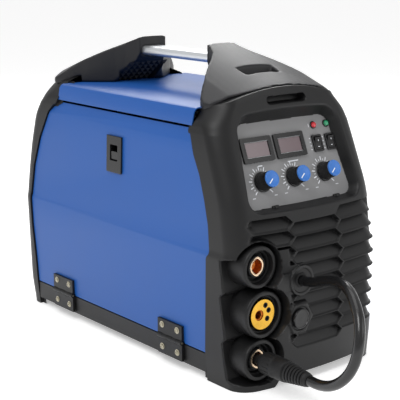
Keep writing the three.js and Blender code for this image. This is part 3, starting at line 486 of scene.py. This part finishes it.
def window_sd(u, v):
    """Distance to the window's lip; 10 mm further in is the panel."""
    k = np.clip((v - WIN_BOT[1]) / (WIN_TOP[1] - WIN_BOT[1]), -0.3, 1.3)
    hw = WIN_BOT[0] + (WIN_TOP[0] - WIN_BOT[0]) * k
    vc, hh = (WIN_TOP[1] + WIN_BOT[1]) / 2, (WIN_TOP[1] - WIN_BOT[1]) / 2
    return rbox(u, v - vc, hw, hh, 24)


# slats: pitch, a lip's height in the outer and in the middle column, depth
PITCH, LIP_AC, LIP_B, SLAT = 16.9, 185.5, 177.0, 9.5
# middle, outer radius and bore of each socket collar
COLLARS = [((-85.0, 149.0), 25.0, 20.0), ((-78.0, 91.0), 28.5, 23.2), ((-82.5, 36.5), 25.0, 20.0)]
GLAND, CAP = (-29.0, 126.0), (-31.0, 80.0)
PAD_Y, DISH_Y = -247.9, -206.0
# floor of the socket corner: [height, depth past DISH_Y]
DISH_BAYS = np.array([[9, -6], [57, -1], [62, -6], [113, 1], [118, -5], [158, 0], [200, 0]], float)
FRONT_ROWS = 420


def zigzag(z):
    """-1 at the lips of the outer columns, +1 at the lips of the middle column."""
    f = np.mod((z - LIP_AC) / PITCH, 1.0)
    return 1 - 4 * np.abs(f - 0.5)


def slat_depth(x, z):
    """How far each slat is pressed in: deep under a lip, shallow at the next one."""
    zz = zigzag(z)
    ab, bc = -37.8 + 4.8 * zz, 38.5 - 4.8 * zz
    outer = (x < ab) | (x > bc)
    f = np.where(outer, np.mod((z - LIP_AC) / PITCH, 1.0), np.mod((z - LIP_B) / PITCH, 1.0))
    edge = np.minimum(np.abs(x - ab), np.abs(x - bc))
    body = 0.16 + 0.84 * np.clip(f, 0, 1) ** 1.35
    rim = step(0.04, 0.15, f) * (0.25 + 0.75 * step(0.0, 0.1, 1 - f))
    depth = SLAT * body * rim * step(0.9, 2.6, edge)
    low = np.where(outer, LIP_AC - 8 * PITCH, LIP_B - 8 * PITCH)
    high = np.where(outer, LIP_AC + PITCH, LIP_B + PITCH)
    depth = depth * (z > low) * (z < high)
    left_end = np.where(z > 166, -101.0 + 12 * np.abs(f - 0.6), -47.5)
    return depth * step(0, 12, x - left_end)


def dish_sd(x, z):
    """Below zero inside the sunk socket corner: an open bay on the left and a moat round each collar."""
    corner = np.maximum(np.maximum(z - 160.0, 8.0 - z), x + 70.0)
    for (cx, cz), r, _ in COLLARS:
        corner = np.minimum(corner, np.hypot(x - cx, z - cz) - r - 4.6)
    return corner


def press_face(P, N):
    """Slats, plateau of the cable outlet, pad of the blank cap and floor of the sockets."""
    x, y, z = P[:, :, 0].copy(), P[:, :, 1].copy(), P[:, :, 2]
    base_y = y.copy()
    rg = np.hypot(x - GLAND[0], z - GLAND[1])
    rc = np.maximum(np.abs(z - CAP[1]), np.abs(x - CAP[0]) * 0.866 + np.abs(z - CAP[1]) * 0.5)
    # slats, wrapped round the right corner, clear of the bosses
    keep = step(17, 20, rg) * step(18, 20.5, rc) * step(-214, -221, y)
    keep = np.where((x < GLAND[0] + 4) & (z > 111) & (z < 146), 0, keep) * step(0, 3, dish_sd(x, z))
    depth = slat_depth(x, z) * keep
    x -= N[:, :, 0] * depth
    y -= N[:, :, 1] * depth
    # plateau with a cup round the cable outlet, and the six-sided pad of the blank cap
    cup = PAD_Y + 6.5 * step(15.5, 12.5, rg)
    flat = rbox(x + 46, z - 127, 22, 10.5, 3.0)
    y = np.where((rg < 18.5) | (flat < 0), np.minimum(y, np.where(rg < 18.5, cup, PAD_Y + 1.5)), y)
    y = np.where(rc < 20, np.minimum(y, PAD_Y + 4.5 * step(16.5, 19.5, rc)), y)
    y = np.where(rc < 15.2, PAD_Y + 1.6 * step(15.2, 14.2, np.hypot(x - CAP[0], z - CAP[1])), y)
    # stepped floor for the sockets
    floor = np.minimum(DISH_Y + np.interp(z, DISH_BAYS[:, 0], DISH_BAYS[:, 1]), -176)
    sunk = step(0.3, -4.2, dish_sd(x, z))
    y = np.where((x < -40) & (base_y < floor), y + (smax(base_y, floor, 12.0) - y) * sunk, y)
    return np.stack([x, y, z], 2)


def sink_window(P):
    """Window sunk along the panel's normal; gives the grid and the hole that shows the panel."""
    rel = P - PO
    v = rel[:, :, 1] * PS + rel[:, :, 2] * PC
    dn = -rel[:, :, 1] * PC + rel[:, :, 2] * PS
    sd = window_sd(P[:, :, 0], v)
    near = (sd < 6) & (P[:, :, 2] > 190)
    wall = 21.5 + 2.0 * sd
    new = np.where(near, smin(dn, np.maximum(wall, 0.0), 3.0), dn)
    new = np.where(near & (sd > 0), np.maximum(new, dn - 1.2 * np.clip(1 - sd / 6, 0, 1)), new)
    return P + (new - dn)[:, :, None] * np.array(PN), (sd < -10.6) & near


def front_bezel():
    P, N = bezel_grid(-1, FRONT_Y, FRONT_EDGE, 300, FRONT_ROWS)
    on_face = P[:, :, 1] < -190
    P = press_face(P, N)
    x, z = P[:, :, 0].copy(), P[:, :, 2].copy()
    P, hole = sink_window(P)
    # grip slot above the window
    sg = rbox(x, z - 330, 31, 4.3, 4.2)
    P[:, :, 1] += np.where((sg < 2) & (z > 318), 13 * step(0.6, -1.0, sg), 0)
    P[:, :, 2] = np.where(z < FOOT_TOP, foot_arch(x, z, -66, 90, 11, on_face), P[:, :, 2])
    inward = -N[-1]
    rows = deck_rows(P[-1], inward)
    keep = np.concatenate([inside_faces(hole), np.ones((len(rows), P.shape[1] - 1), bool)])
    s = Shape()
    s.grid(np.concatenate([P, np.array(rows)]), "black", keep=keep)
    inner_flanges(s, P, -1)
    s.grid(np.stack([P[0] + inward * 3, P[0]], 0), "black")
    # floor between the foot of the moulding and the base pan
    for x0, x1, y0 in ((-104, -56, -205), (-56, 84, -236), (84, 104, -226)):
        s.box((x0, y0, 11.2), (x1, -192, 12.8), "black", 0)
    # collars: one ring each, rounded at the mouth
    for (cx, cz), r, bore in COLLARS:
        prof = [(r + 1.2, 36), (r + 0.3, 24), (r, 8), (r, 2.0), (r - 0.4, 0.8), (r - 1.3, 0.15), (r - 2.2, 0),
                (bore + 1, 0), (bore + 0.3, 0.3), (bore, 1), (bore, 32)]
        s.lathe([(a, -b) for a, b in prof], (cx, SOCKET_Y, cz), FRONT, "black", 72)
    return s.make("front_moulding", "housing", "black", 38, ("front_bezel",))


front_bezel()


# ------------------------------------------------------------------ CAD nodes that keep their shape
def finish(node, mat, bevel=0.5, angle=30, segments=3):
    """Material, merged corners, rounded edges and smooth faces on a carried-over node."""
    o = NODES[node]
    me = o.data
    me.materials.clear()
    me.materials.append(M[mat])
    if "custom_normal" in me.attributes:
        me.attributes.remove(me.attributes["custom_normal"])
    if "sharp_edge" in me.attributes:
        me.attributes.remove(me.attributes["sharp_edge"])
    me.polygons.foreach_set("use_smooth", [True] * len(me.polygons))
    weld = o.modifiers.new("weld", "WELD")
    weld.merge_threshold = 2e-5
    if bevel:
        b = o.modifiers.new("round", "BEVEL")
        b.width, b.segments, b.limit_method = bevel * MM, segments, "ANGLE"
        b.angle_limit = math.radians(angle)
        b.harden_normals = True
        b.miter_outer = "MITER_ARC"


for node, mat, bevel in (
        ("side_door", "blue", 0.5), ("top_cover", "blue", 0.5), ("right_side_panel", "blue", 0.5),
        ("base_pan", "black", 0.5), ("rear_panel", "blue", 0.4), ("control_panel", "grey", 0.3),
        ("handle_bar", "silver", 0.6),
        ("latch_housing", "gloss", 0.6), ("latch_slider", "gloss", 0.5),
        ("rear_hinge_door_leaf", "black", 0.4), ("front_hinge_door_leaf", "black", 0.4),
        ("rear_hinge_base_leaf", "black", 0.4), ("front_hinge_base_leaf", "black", 0.4),
        ("rear_hinge_pin", "steel", 0.2), ("front_hinge_pin", "steel", 0.2),
        ("current_display_bezel", "gloss", 0.5), ("voltage_display_bezel", "gloss", 0.5),
        ("current_display_window", "window", 0.2), ("voltage_display_window", "window", 0.2),
        ("mode_switch_frame", "gloss", 0.4), ("trigger_switch_frame", "gloss", 0.4),
        ("mode_switch_rocker", "gloss", 0.5), ("trigger_switch_rocker", "gloss", 0.5),
        ("power_switch_rocker", "gloss", 0.6), ("divider_plate", "zinc", 0.2),
        ("inverter_heatsink", "silver", 0.3), ("fan_rotor", "plastic", 0.4),
        ("wire_feeder", "plastic", 0.8), ("drive_roll", "steel", 0.4),
        ("pressure_arm", "plastic", 0.8), ("spool_hub", "plastic", 0.8), ("gas_inlet", "brass", 0.3),
        ("mains_cable_gland", "rubber", 0.6), ("torch_socket_contact", "brass", 0.5),
        ("foot_front_left", "rubber", 0.6), ("foot_front_right", "rubber", 0.6),
        ("foot_rear_left", "rubber", 0.6), ("foot_rear_right", "rubber", 0.6)):
    finish(node, mat, bevel)


# ------------------------------------------------------------------ rear moulding
REAR_OPENING = (95, 98, 18, 148)       # half width, half height, corner, height of the middle
REAR_PANEL_Y = 216.0


def rear_bezel():
    P, N = bezel_grid(1, REAR_Y, REAR_EDGE, 150, 200)
    x, y, z = P[:, :, 0], P[:, :, 1].copy(), P[:, :, 2].copy()
    on_face = y > 200
    hw, hh, r, zc = REAR_OPENING
    sd = rbox(x, z - zc, hw, hh, r)
    y = np.where(sd < 2, np.minimum(y, np.maximum(REAR_PANEL_Y + 0.4, y + 8 * (sd - 0.5))), y)
    z = np.where(z < FOOT_TOP, foot_arch(x, z, -84, 84, 10, on_face), z)
    P = np.stack([x, y, z], 2)
    inward = -N[-1]
    rows = deck_rows(P[-1], inward)
    keep = np.concatenate([inside_faces(sd < -4.6), np.ones((len(rows), P.shape[1] - 1), bool)])
    s = Shape()
    s.grid(np.concatenate([P, np.array(rows)]), "black", keep=keep)
    inner_flanges(s, P, 1)
    s.grid(np.stack([P[0] + inward * 3, P[0]], 0), "black")
    # floor between the foot of the moulding and the base pan
    for x0, x1, y1 in ((-104, -84, 226), (-84, 84, 235), (84, 104, 226)):
        s.box((x0, 203, 10.4), (x1, y1, 12.0), "black", 0)
    return s.make("rear_moulding", "housing", "black", 38, ("rear_bezel",))


rear_bezel()


# ------------------------------------------------------------------ handle brackets
END_DROP, END_SPREAD = 7.0, 5.5


def moulded_bracket(node, name):
    """Copy of the bracket with softly rounded edges, its ends drawn down onto the corners of the moulding."""
    o = bpy.data.objects.new(name, NODES[node].data.copy())
    bpy.context.scene.collection.objects.link(o)
    remesh = o.modifiers.new("remesh", "REMESH")
    remesh.mode, remesh.voxel_size = "VOXEL", 1.3 * MM
    smooth = o.modifiers.new("smooth", "SMOOTH")
    smooth.factor, smooth.iterations = 0.5, 7
    mesh = bpy.data.meshes.new_from_object(o.evaluated_get(bpy.context.evaluated_depsgraph_get()))
    o.modifiers.clear()
    o.data = mesh
    co = np.empty(len(mesh.vertices) * 3)
    mesh.vertices.foreach_get("co", co)
    co = co.reshape(-1, 3)
    low = step(0.372, 0.345, co[:, 2])
    co[:, 2] -= END_DROP * MM * step(0.074, 0.097, np.abs(co[:, 0])) * low
    co[:, 0] += END_SPREAD * MM * step(0.074, 0.095, np.abs(co[:, 0])) * low * np.sign(co[:, 0])
    mesh.vertices.foreach_set("co", co.ravel())
    mesh.polygons.foreach_set("use_smooth", [True] * len(mesh.polygons))
    mesh.materials.clear()
    mesh.materials.append(M["horn"])
    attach(o, "housing")
    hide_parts(node)


moulded_bracket("front_handle_bracket", "front_bracket_moulding")
moulded_bracket("rear_handle_bracket", "rear_bracket_moulding")


# ------------------------------------------------------------------ studs under the rear bracket
STUD, STUD_HEIGHT, STUD_COLS, STUD_ROWS = 9.2, 3.4, 7, 5


def bracket_studs():
    """Pyramids on the sloping underside, which runs between two points of the bracket's section."""
    s = Shape()
    low, high = np.array([0, 124.4, 325.6]), np.array([0, 86.5, 354.4])
    slope = (high - low) / np.linalg.norm(high - low)
    out = np.cross(slope, np.array([1.0, 0, 0]))
    out = -out if out[2] > 0 else out
    a, b = np.array([STUD / 2 - 0.3, 0, 0]), slope * (STUD / 2 - 0.3)
    faces = [(0, 1, 5, 4), (1, 2, 6, 5), (2, 3, 7, 6), (3, 0, 4, 7), (4, 5, 6, 7), (3, 2, 1, 0)]
    for i in range(STUD_COLS):
        for j in range(STUD_ROWS):
            c = low + slope * (STUD * (j + 0.5)) + np.array([(i - STUD_COLS // 2) * STUD, 0, 0])
            base = [c - a - b, c + a - b, c + a + b, c - a + b]
            tip = [c + (p - c) * 0.08 + out * STUD_HEIGHT for p in base]
            s.add(base + tip, faces, "horn")
    s.make("rear_bracket_studs", "housing", "black", 20)


bracket_studs()


# ------------------------------------------------------------------ screws
def frame_on(axis):
    n = Vector(axis).normalized()
    q = Vector((0, 0, 1)).rotation_difference(n)
    return np.array(q @ Vector((1, 0, 0))), np.array(q @ Vector((0, 1, 0))), np.array(n)


def screw(shape, at, axis, r=3.0, h=1.6, mat="steel", turn=0.4):
    """Pan head with a cross recess."""
    a, b, n = frame_on(axis)
    th = np.linspace(0, 2 * math.pi, 40, endpoint=False)
    rows = []
    for k, d in ((1.0, 0.0), (1.0, 0.45), (0.93, 0.74), (0.78, 0.9), (0.66, 0.95), (0.56, 0.97), (0.42, 0.99),
                 (0.3, 1.0), (0.2, 1.0), (0.08, 1.0)):
        x, y = k * r * np.cos(th), k * r * np.sin(th)
        slot = np.minimum(np.abs(x), np.abs(y)) < 0.17 * r
        lift = h * d - (0.5 * h * slot if k < 0.6 else 0)
        x, y = x * math.cos(turn) - y * math.sin(turn), x * math.sin(turn) + y * math.cos(turn)
        rows.append(np.array(at) + np.outer(x, a) + np.outer(y, b) + np.outer(lift * np.ones(40), n))
    shape.grid(np.array(rows), mat, close_u=True)
    k = len(shape.v)
    shape.f.append(tuple(range(k - 40, k)))
    shape.m.append(mat)


def side_x(z):
    return -float(np.interp(z, [p[0] for p in SIDE], [p[1] for p in SIDE]))


HINGES = {"rear": 135.0, "front": -108.0}
LEAF_T, SCREW_DY = 3.4, 15
# height on the side, gap to it and screw height of each leaf; the upper leaf is on the door
LEAVES = {"upper": (57, 0.3, 50, "door", 0.3, 0.02), "lower": (34, 0.7, 21.5, "housing", 0.9, -0.03)}


def hinge_screws(hinge, leaf):
    side_z, gap, z, body, turn, turn_per_mm = LEAVES[leaf]
    s = Shape()
    out = side_x(side_z) - gap - LEAF_T
    for dy in (-SCREW_DY, SCREW_DY):
        y = HINGES[hinge] + dy
        s.lathe([(4.1, -0.1), (4.1, 0.35), (3.6, 0.5), (0, 0.5)], (out, y, z), LEFT, "steel", 24)
        screw(s, (out - 0.4, y, z), LEFT, 3.0, 1.7, turn=turn + turn_per_mm * dy)
    s.make(f"{hinge}_hinge_{leaf}_screws", body, "steel")


for hinge in HINGES:
    for leaf in LEAVES:
        hinge_screws(hinge, leaf)


# ------------------------------------------------------------------ control panel
DISPLAYS = {"current": -49.5, "voltage": 3.0}
SWITCHES = {"mode": 49.0, "trigger": 71.0}
LAMPS = {"warning": (49.5, "red"), "power": (71.0, "green")}
KNOBS = {"wire_speed": -53.5, "voltage": -3.0, "inductance": 48.0}
LAMP_V, KNOB_V, DISPLAY_V, SWITCH_V = 37.6, -21.0, 17.5, 14.5
POINTER = 2.25
FLUTES = 36
TICKS, TICK_STEP, FIRST_TICK = 21, 13.5, 225
PANEL_AXES = [X, PV, PN]


def knob(name, u):
    """Fluted grip, and its blue cap with a pointer."""
    body = name + "_control"
    at = panel_point(u, KNOB_V, 0)
    s = Shape()
    s.lathe([(3, -8), (3, 0.8), (11.6, 0.8), (12.2, 1.2), (12.2, 2.2), (11.8, 2.8), (10.6, 3.0)],
            at, PN, "gloss", 64)
    a, b, n = frame_on(PN)
    th = np.linspace(0, 2 * math.pi, 6 * FLUTES, endpoint=False)
    rows = []
    for r, d, flute in ((10.7, 3.0, 0.2), (10.5, 3.6, 1), (10.2, 10, 1), (9.95, 16.4, 1), (9.7, 17.3, 0.5),
                        (9.3, 17.8, 0), (8.6, 18.0, 0)):
        rr = r - 0.42 * flute * (0.5 - 0.5 * np.cos(FLUTES * th)) ** 1.5
        rows.append(np.array(at) + np.outer(rr * np.cos(th), a) + np.outer(rr * np.sin(th), b) + n * d)
    s.grid(np.array(rows), "gloss", close_u=True)
    s.make(f"{name}_knob_grip", body, "black", 40, (f"{name}_knob",))
    s = Shape()
    s.lathe([(8.6, 17.9), (9.75, 18.0), (9.9, 18.4), (9.8, 20.0), (9.3, 20.7), (8.6, 20.9), (8.2, 20.7),
             (7.9, 20.55), (0, 20.6)], at, PN, "cap", 64)
    ca, sa = math.cos(POINTER), math.sin(POINTER)
    line = [(p * ca - q * sa, p * sa + q * ca) for p, q in rounded(1.1, 8.4, 0.5, 3, 0, 4.6)]
    s.prism(line, 0.35, PANEL_AXES, panel_point(u, KNOB_V, 20.5), "white")
    s.make(f"{name}_cap", body, "cap", 40, (f"{name}_knob_cap",))


def mark(shape, u, v, w, h, turn=0.0):
    """One printed stroke on the panel."""
    c, q = math.cos(turn), math.sin(turn)
    pts = [(u + a * c - b * q, v + a * q + b * c) for a, b in rounded(w, h, min(w, h) * 0.3, 2)]
    shape.prism(pts, 0.12, PANEL_AXES, panel_point(0, 0, 0.02), "white")


def panel_print():
    """Ticks round the dials, and plain strokes where the real panel has words."""
    s = Shape()
    for u in KNOBS.values():
        for i in range(TICKS):
            a = math.radians(FIRST_TICK - TICK_STEP * i)
            r, length, width = (16.6, 5.0, 1.15) if i % 2 == 0 else (15.2, 2.6, 0.8)
            mark(s, u + r * math.cos(a), KNOB_V + r * math.sin(a), length, width, a)
        for dx in (-17, 17):
            mark(s, u + dx, KNOB_V - 17.5, 4.5, 0.8)
    for u in SWITCHES.values():
        for k in range(4):
            mark(s, u - 10.6, SWITCH_V + 7 - 4.6 * k, 1.4, 1.2)
    mark(s, LAMPS["warning"][0] - 7.5, LAMP_V, 0.8, 4.2)
    mark(s, DISPLAYS["current"], -1.9, 6.5, 1.3)
    mark(s, DISPLAYS["voltage"], -1.9, 17, 1.3)
    s.make("panel_print", "housing", "grey", 40)


def lamp(name, u, lens):
    s = Shape()
    at = panel_point(u, LAMP_V, 0)
    s.lathe([(4.7, 0), (4.7, 0.9), (4.3, 1.3), (3.6, 1.3), (3.5, 0.9)], at, PN, "gloss", 40)
    dome = [(3.5 * math.cos(t), 1.6 + 2.8 * math.sin(t)) for t in np.linspace(0, math.pi / 2 - 0.05, 10)]
    s.lathe([(3.5, 0.4)] + dome + [(0, 4.4)], at, PN, lens, 40)
    s.make(f"{name}_lens", "housing", lens, 50, (f"{name}_lamp",))


def display_mask(name, u):
    """Black mask over a display window, with a thin pale line round its opening."""
    s = Shape()
    sizes = [(38.6, 24.2, 1.2, 2.6), (38.6, 24.2, 1.2, 3.1), (37.6, 18.6, 0.9, 3.1), (37.6, 18.6, 0.9, 3.0),
             (37.0, 18.0, 0.8, 3.0), (36.6, 17.6, 0.6, 2.3)]
    ring = np.array([[panel_point(a, b, d) for a, b in rounded(w, h, r, 4, u, DISPLAY_V)]
                     for w, h, r, d in sizes])
    s.grid(ring[:4], "gloss", close_u=True)
    s.grid(ring[3:5], "zinc", close_u=True)
    s.grid(ring[4:], "gloss", close_u=True)
    s.make(f"{name}_display_mask", "housing", "black", 30)


def panel_clips():
    s = Shape()
    for u in (-43, 58):
        s.prism(rounded(10, 6.0, 1.2, 4, u, -53.5), 2.4, PANEL_AXES, panel_point(0, 0, 0.1), "black", 0.6)
        s.prism(rounded(5.0, 4.0, 1.0, 4, u, -52.5), 3.6, PANEL_AXES, panel_point(0, 0, 0.1), "black", 0.6)
    s.make("panel_clips", "housing", "black")


def rocker_marks(name, u):
    """A raised bar at each end of a panel rocker."""
    s = Shape()
    base = Vector(panel_point(u, SWITCH_V, 0.5))
    tilt = math.radians(10)
    up = Vector(PV) * math.cos(tilt) + Vector(PN) * math.sin(tilt)
    nn = Vector(PN) * math.cos(tilt) - Vector(PV) * math.sin(tilt)
    s.prism(rounded(0.8, 3.0, 0.3, 2, 0, 3.9), 0.18, [X, up, nn], base + nn * 2.5, "white")
    s.prism(rounded(2.6, 0.8, 0.3, 2, 0, -4.2), 0.18, [X, up, nn], base + nn * 2.55, "white")
    s.make(f"{name}_rocker_marks", f"{name}_switch", "grey")


for name, u in KNOBS.items():
    knob(name, u)
panel_print()
for name, (u, lens) in LAMPS.items():
    lamp(name, u, lens)
for name, u in DISPLAYS.items():
    display_mask(name, u)
panel_clips()
for name, u in SWITCHES.items():
    rocker_marks(name, u)


# ------------------------------------------------------------------ sockets
def current_socket(name, x, z):
    """Insulator of a twist-lock socket, and its copper contact with a tinned rim."""
    s = Shape()
    s.lathe([(20.0, -30), (20.0, -8.0), (19.6, -7.2), (17.6, -7.0), (17.2, -7.6), (16.9, -13), (13.4, -13),
             (13.1, -12.4), (12.9, -6.4), (12.5, -5.8), (11.2, -5.6), (10.9, -6), (10.6, -8), (10.6, -30)],
            (x, SOCKET_Y, z), FRONT, "rubber", 72)
    s.make(f"{name}_socket_insulator", "housing", "rubber", 40, (f"{name}_socket_body",))
    s = Shape()
    th = np.linspace(0, 2 * math.pi, 96, endpoint=False)
    lobe = np.maximum(0, np.cos(th - math.pi / 2)) ** 10 + 0.8 * np.maximum(0, np.cos(th + math.pi / 2)) ** 10
    rows = []
    for r, y in ((10.3, -206), (10.3, -229.6), (9.9, -230.4), (8.7, -230.6), (7.9, -230.2), (7.3, -228.4),
                 (5.4, -221), (0.1, -219)):
        rr = r * (1 + (0.17 * lobe if 5 < r < 10.2 else 0))
        rows.append(np.stack([x + rr * np.cos(th), np.full(96, float(y)), z + rr * np.sin(th)], 1))
    s.grid(np.array(rows[:5])[:, ::-1], "tin", close_u=True)
    s.grid(np.array(rows[4:])[:, ::-1], "copper", close_u=True)
    s.make(f"{name}_socket_rim", "housing", "copper", 40, (f"{name}_socket_contact",))


TORCH, TORCH_R, TORCH_FACE_Y = (-78.0, 91.0), 18.0, -233.5


def torch_socket():
    x, z = TORCH
    s = Shape()
    s.lathe([(23.2, -30), (23.2, -5.6), (22.8, -5.0), (21.0, -4.8), (20.6, -5.4), (20.3, -11), (18.6, -11),
             (18.4, -30)], (x, SOCKET_Y, z), FRONT, "rubber", 80)
    s.make("torch_socket_insulator", "housing", "rubber", 40, ("torch_socket_body",))
    s = Shape()
    # the pin holes and their rims are painted near black: painted shade, darker than the black moulding round
    # them
    for a, b in ((0.22, 0.58), (0.5, 0.2), (0.38, -0.34)):
        s.lathe([(3.3, -0.1), (3.3, 0.25), (3.0, 0.45), (2.2, 0.45), (2.0, 0.2), (1.9, -12), (0, -12)],
                (x + a * TORCH_R, TORCH_FACE_Y, z + b * TORCH_R), FRONT, "painted_hole_shade", 28)
    s.lathe([(6.4, -6), (6.3, -1.2), (5.2, -1.2), (4.6, -2), (4.5, -18), (0, -18)],
            (x - 0.3 * TORCH_R, TORCH_FACE_Y, z), FRONT, "copper", 40)
    s.make("torch_socket_inserts", "housing", "black")


def blank_cap():
    s = Shape()
    s.lathe([(12.3, -6), (12.3, 1.4), (11.9, 2.1), (11.2, 2.4), (10.4, 2.3), (10.1, 1.8), (9.6, 1.7),
             (4, 2.0), (0, 2.1)], (CAP[0], -248.4, CAP[1]), FRONT, "gloss", 56)
    s.make("remote_socket_blank", "housing", "rubber", 40, ("remote_socket_cap",))


def cable_bushing():
    s = Shape()
    s.lathe([(9.2, -22), (9.2, 0.4), (8.9, 1.4), (8.2, 1.9), (7.2, 1.9), (6.6, 1.4), (6.2, 0.2), (6.1, -22)],
            (GLAND[0], -245.2, GLAND[1]), FRONT, "rubber", 48)
    s.make("cable_bushing", "housing", "rubber", 40, ("cable_gland",))


current_socket("positive", -85.0, 149.0)
current_socket("negative", -82.5, 36.5)
torch_socket()
blank_cap()
cable_bushing()


# ------------------------------------------------------------------ wire compartment
SPOOL, SPOOL_HALF_W, WIRE_R, WIRE_TURNS, FLANGE_RIBS = (-65.5, 62.0, 187.0), 27.5, 91.5, 34, 12


def wire_spool():
    s = Shape()
    w = SPOOL_HALF_W
    steps = WIRE_TURNS * 4
    winding = [(WIRE_R + 0.5 * abs(math.sin(math.pi * i / 4)), -w + 4 + (2 * w - 8) * i / steps)
               for i in range(steps + 1)]
    s.lathe(winding, SPOOL, X, "wire", 72)
    for e in (-1, 1):
        flange = [(25.8, w - 3.2), (99.4, w - 3.2), (99.9, w - 2.6), (99.9, w - 0.6), (99.3, w), (93, w),
                  (92, w - 1.0), (60, w - 1.0), (59, w), (40, w), (39, w - 0.9), (32, w - 0.9), (31, w),
                  (25.8, w), (25.8, w - 3.2)]
        s.lathe([(r, e * d) for r, d in flange], SPOOL, X, "plastic", 72)
        for i in range(FLANGE_RIBS):
            a = 2 * math.pi * i / FLANGE_RIBS
            c, q = math.cos(a), math.sin(a)
            s.prism(rounded(34, 3.0, 1, 3, 76, 0), 1.0, [(0, c, q), (0, -q, c), (e, 0, 0)],
                    (SPOOL[0] + e * (w - 1.0), SPOOL[1], SPOOL[2]), "plastic", 0.3)
    s.lathe([(25.7, -w), (27.5, -w), (27.5, w), (25.7, w)], SPOOL, X, "plastic", 48)
    s.make("spool_of_wire", "spool", "plastic", 35, ("wire_spool",))


wire_spool()


# ------------------------------------------------------------------ rear and side details
FAN = (38.0, REAR_PANEL_Y, 150.0)
GUARD_LEGS, LEG_EYE_R = 4, 69


def hoop(shape, at, axis, R, r, mat, n=72):
    section = [(R + r * math.cos(t), r * math.sin(t)) for t in np.linspace(0, 2 * math.pi, 11)]
    shape.lathe(section, at, axis, mat, n)


def fan_guard():
    """Rings of wire on four legs, each leg with an eye and a screw."""
    x, y, z = FAN
    s = Shape()
    for R in range(12, 57, 7):
        hoop(s, (x, y + 3.0, z), REAR, R, 0.9, "zinc")
    for i in range(GUARD_LEGS):
        a = math.pi / 4 + i * 2 * math.pi / GUARD_LEGS
        c, q = math.cos(a), math.sin(a)
        tube(s, np.array([(x + t * c, y + 1.8, z + t * q) for t in np.linspace(8, 66, 12)]), 1.1, "zinc", 12)
        eye = (x + LEG_EYE_R * c, z + LEG_EYE_R * q)
        hoop(s, (eye[0], y + 1.8, eye[1]), REAR, 4.0, 1.1, "zinc", 28)
        screw(s, (eye[0], y + 0.4, eye[1]), REAR, 3.6, 2.6)
    s.make("fan_guard", "housing", "zinc", 40)


def panel_screws():
    s = Shape()
    for x, z in ((-86, 62), (86, 62), (-86, 234), (86, 234), (-86, 148), (86, 148)):
        screw(s, (x, REAR_PANEL_Y, z), REAR, 3.4, 2.0, "steel", 0.2 + 0.01 * z)
    s.make("rear_panel_screws", "housing", "steel")
    s = Shape()
    for y, z in ((-128, 60), (150, 60), (-128, 262), (128, 262), (12, 40)):
        screw(s, (-side_x(z) - 0.05, y, z), RIGHT, 3.4, 2.0, "steel", 0.5 + 0.01 * y)
    s.make("side_panel_screws", "housing", "steel")


fan_guard()
panel_screws()


# ------------------------------------------------------------------ lights, floor
WORLD_STRENGTH, FLOOR_GLOW, FLOOR_HALF = 0.6, 0.38, 60


def area(name, at, target, size, power):
    d = bpy.data.lights.new(name, "AREA")
    d.shape, d.size, d.size_y, d.energy = "RECTANGLE", size[0], size[1], power
    o = bpy.data.objects.new(name, d)
    bpy.context.scene.collection.objects.link(o)
    o.location = at
    o.rotation_mode = "QUATERNION"
    o.rotation_quaternion = (Vector(target) - Vector(at)).to_track_quat("-Z", "Y")


def pale_floor():
    h = FLOOR_HALF
    mesh = bpy.data.meshes.new("floor")
    mesh.from_pydata([(-h, -h, 0), (h, -h, 0), (h, h, 0), (-h, h, 0)], [], [(0, 1, 2, 3)])
    paint = material("floor_paint", (0.93, 0.93, 0.93, 1), 0.8, grain=40, bump=0.0, shade=0.01)
    mesh.materials.append(paint)
    surface = paint.node_tree.nodes["Principled BSDF"].inputs
    surface["Emission Color"].default_value = (1, 1, 1, 1)
    surface["Emission Strength"].default_value = FLOOR_GLOW
    floor = bpy.data.objects.new("floor", mesh)
    bpy.context.scene.collection.objects.link(floor)


area("key", (-1.5, -0.6, 1.9), (0, 0, 0.2), (1.0, 1.0), 23)
area("fill", (0.9, -2.0, 1.0), (0, -0.1, 0.15), (1.4, 1.0), 7)
area("rim", (1.2, 1.4, 1.6), (0, 0, 0.25), (1.2, 1.0), 20)
area("top", (-0.1, 0.1, 2.0), (0, 0, 0.3), (1.4, 1.4), 10)
world = bpy.data.worlds.new("world")
bpy.context.scene.world = world
world.use_nodes = True
world.node_tree.nodes["Background"].inputs["Color"].default_value = (1, 1, 1, 1)
world.node_tree.nodes["Background"].inputs["Strength"].default_value = WORLD_STRENGTH
pale_floor()
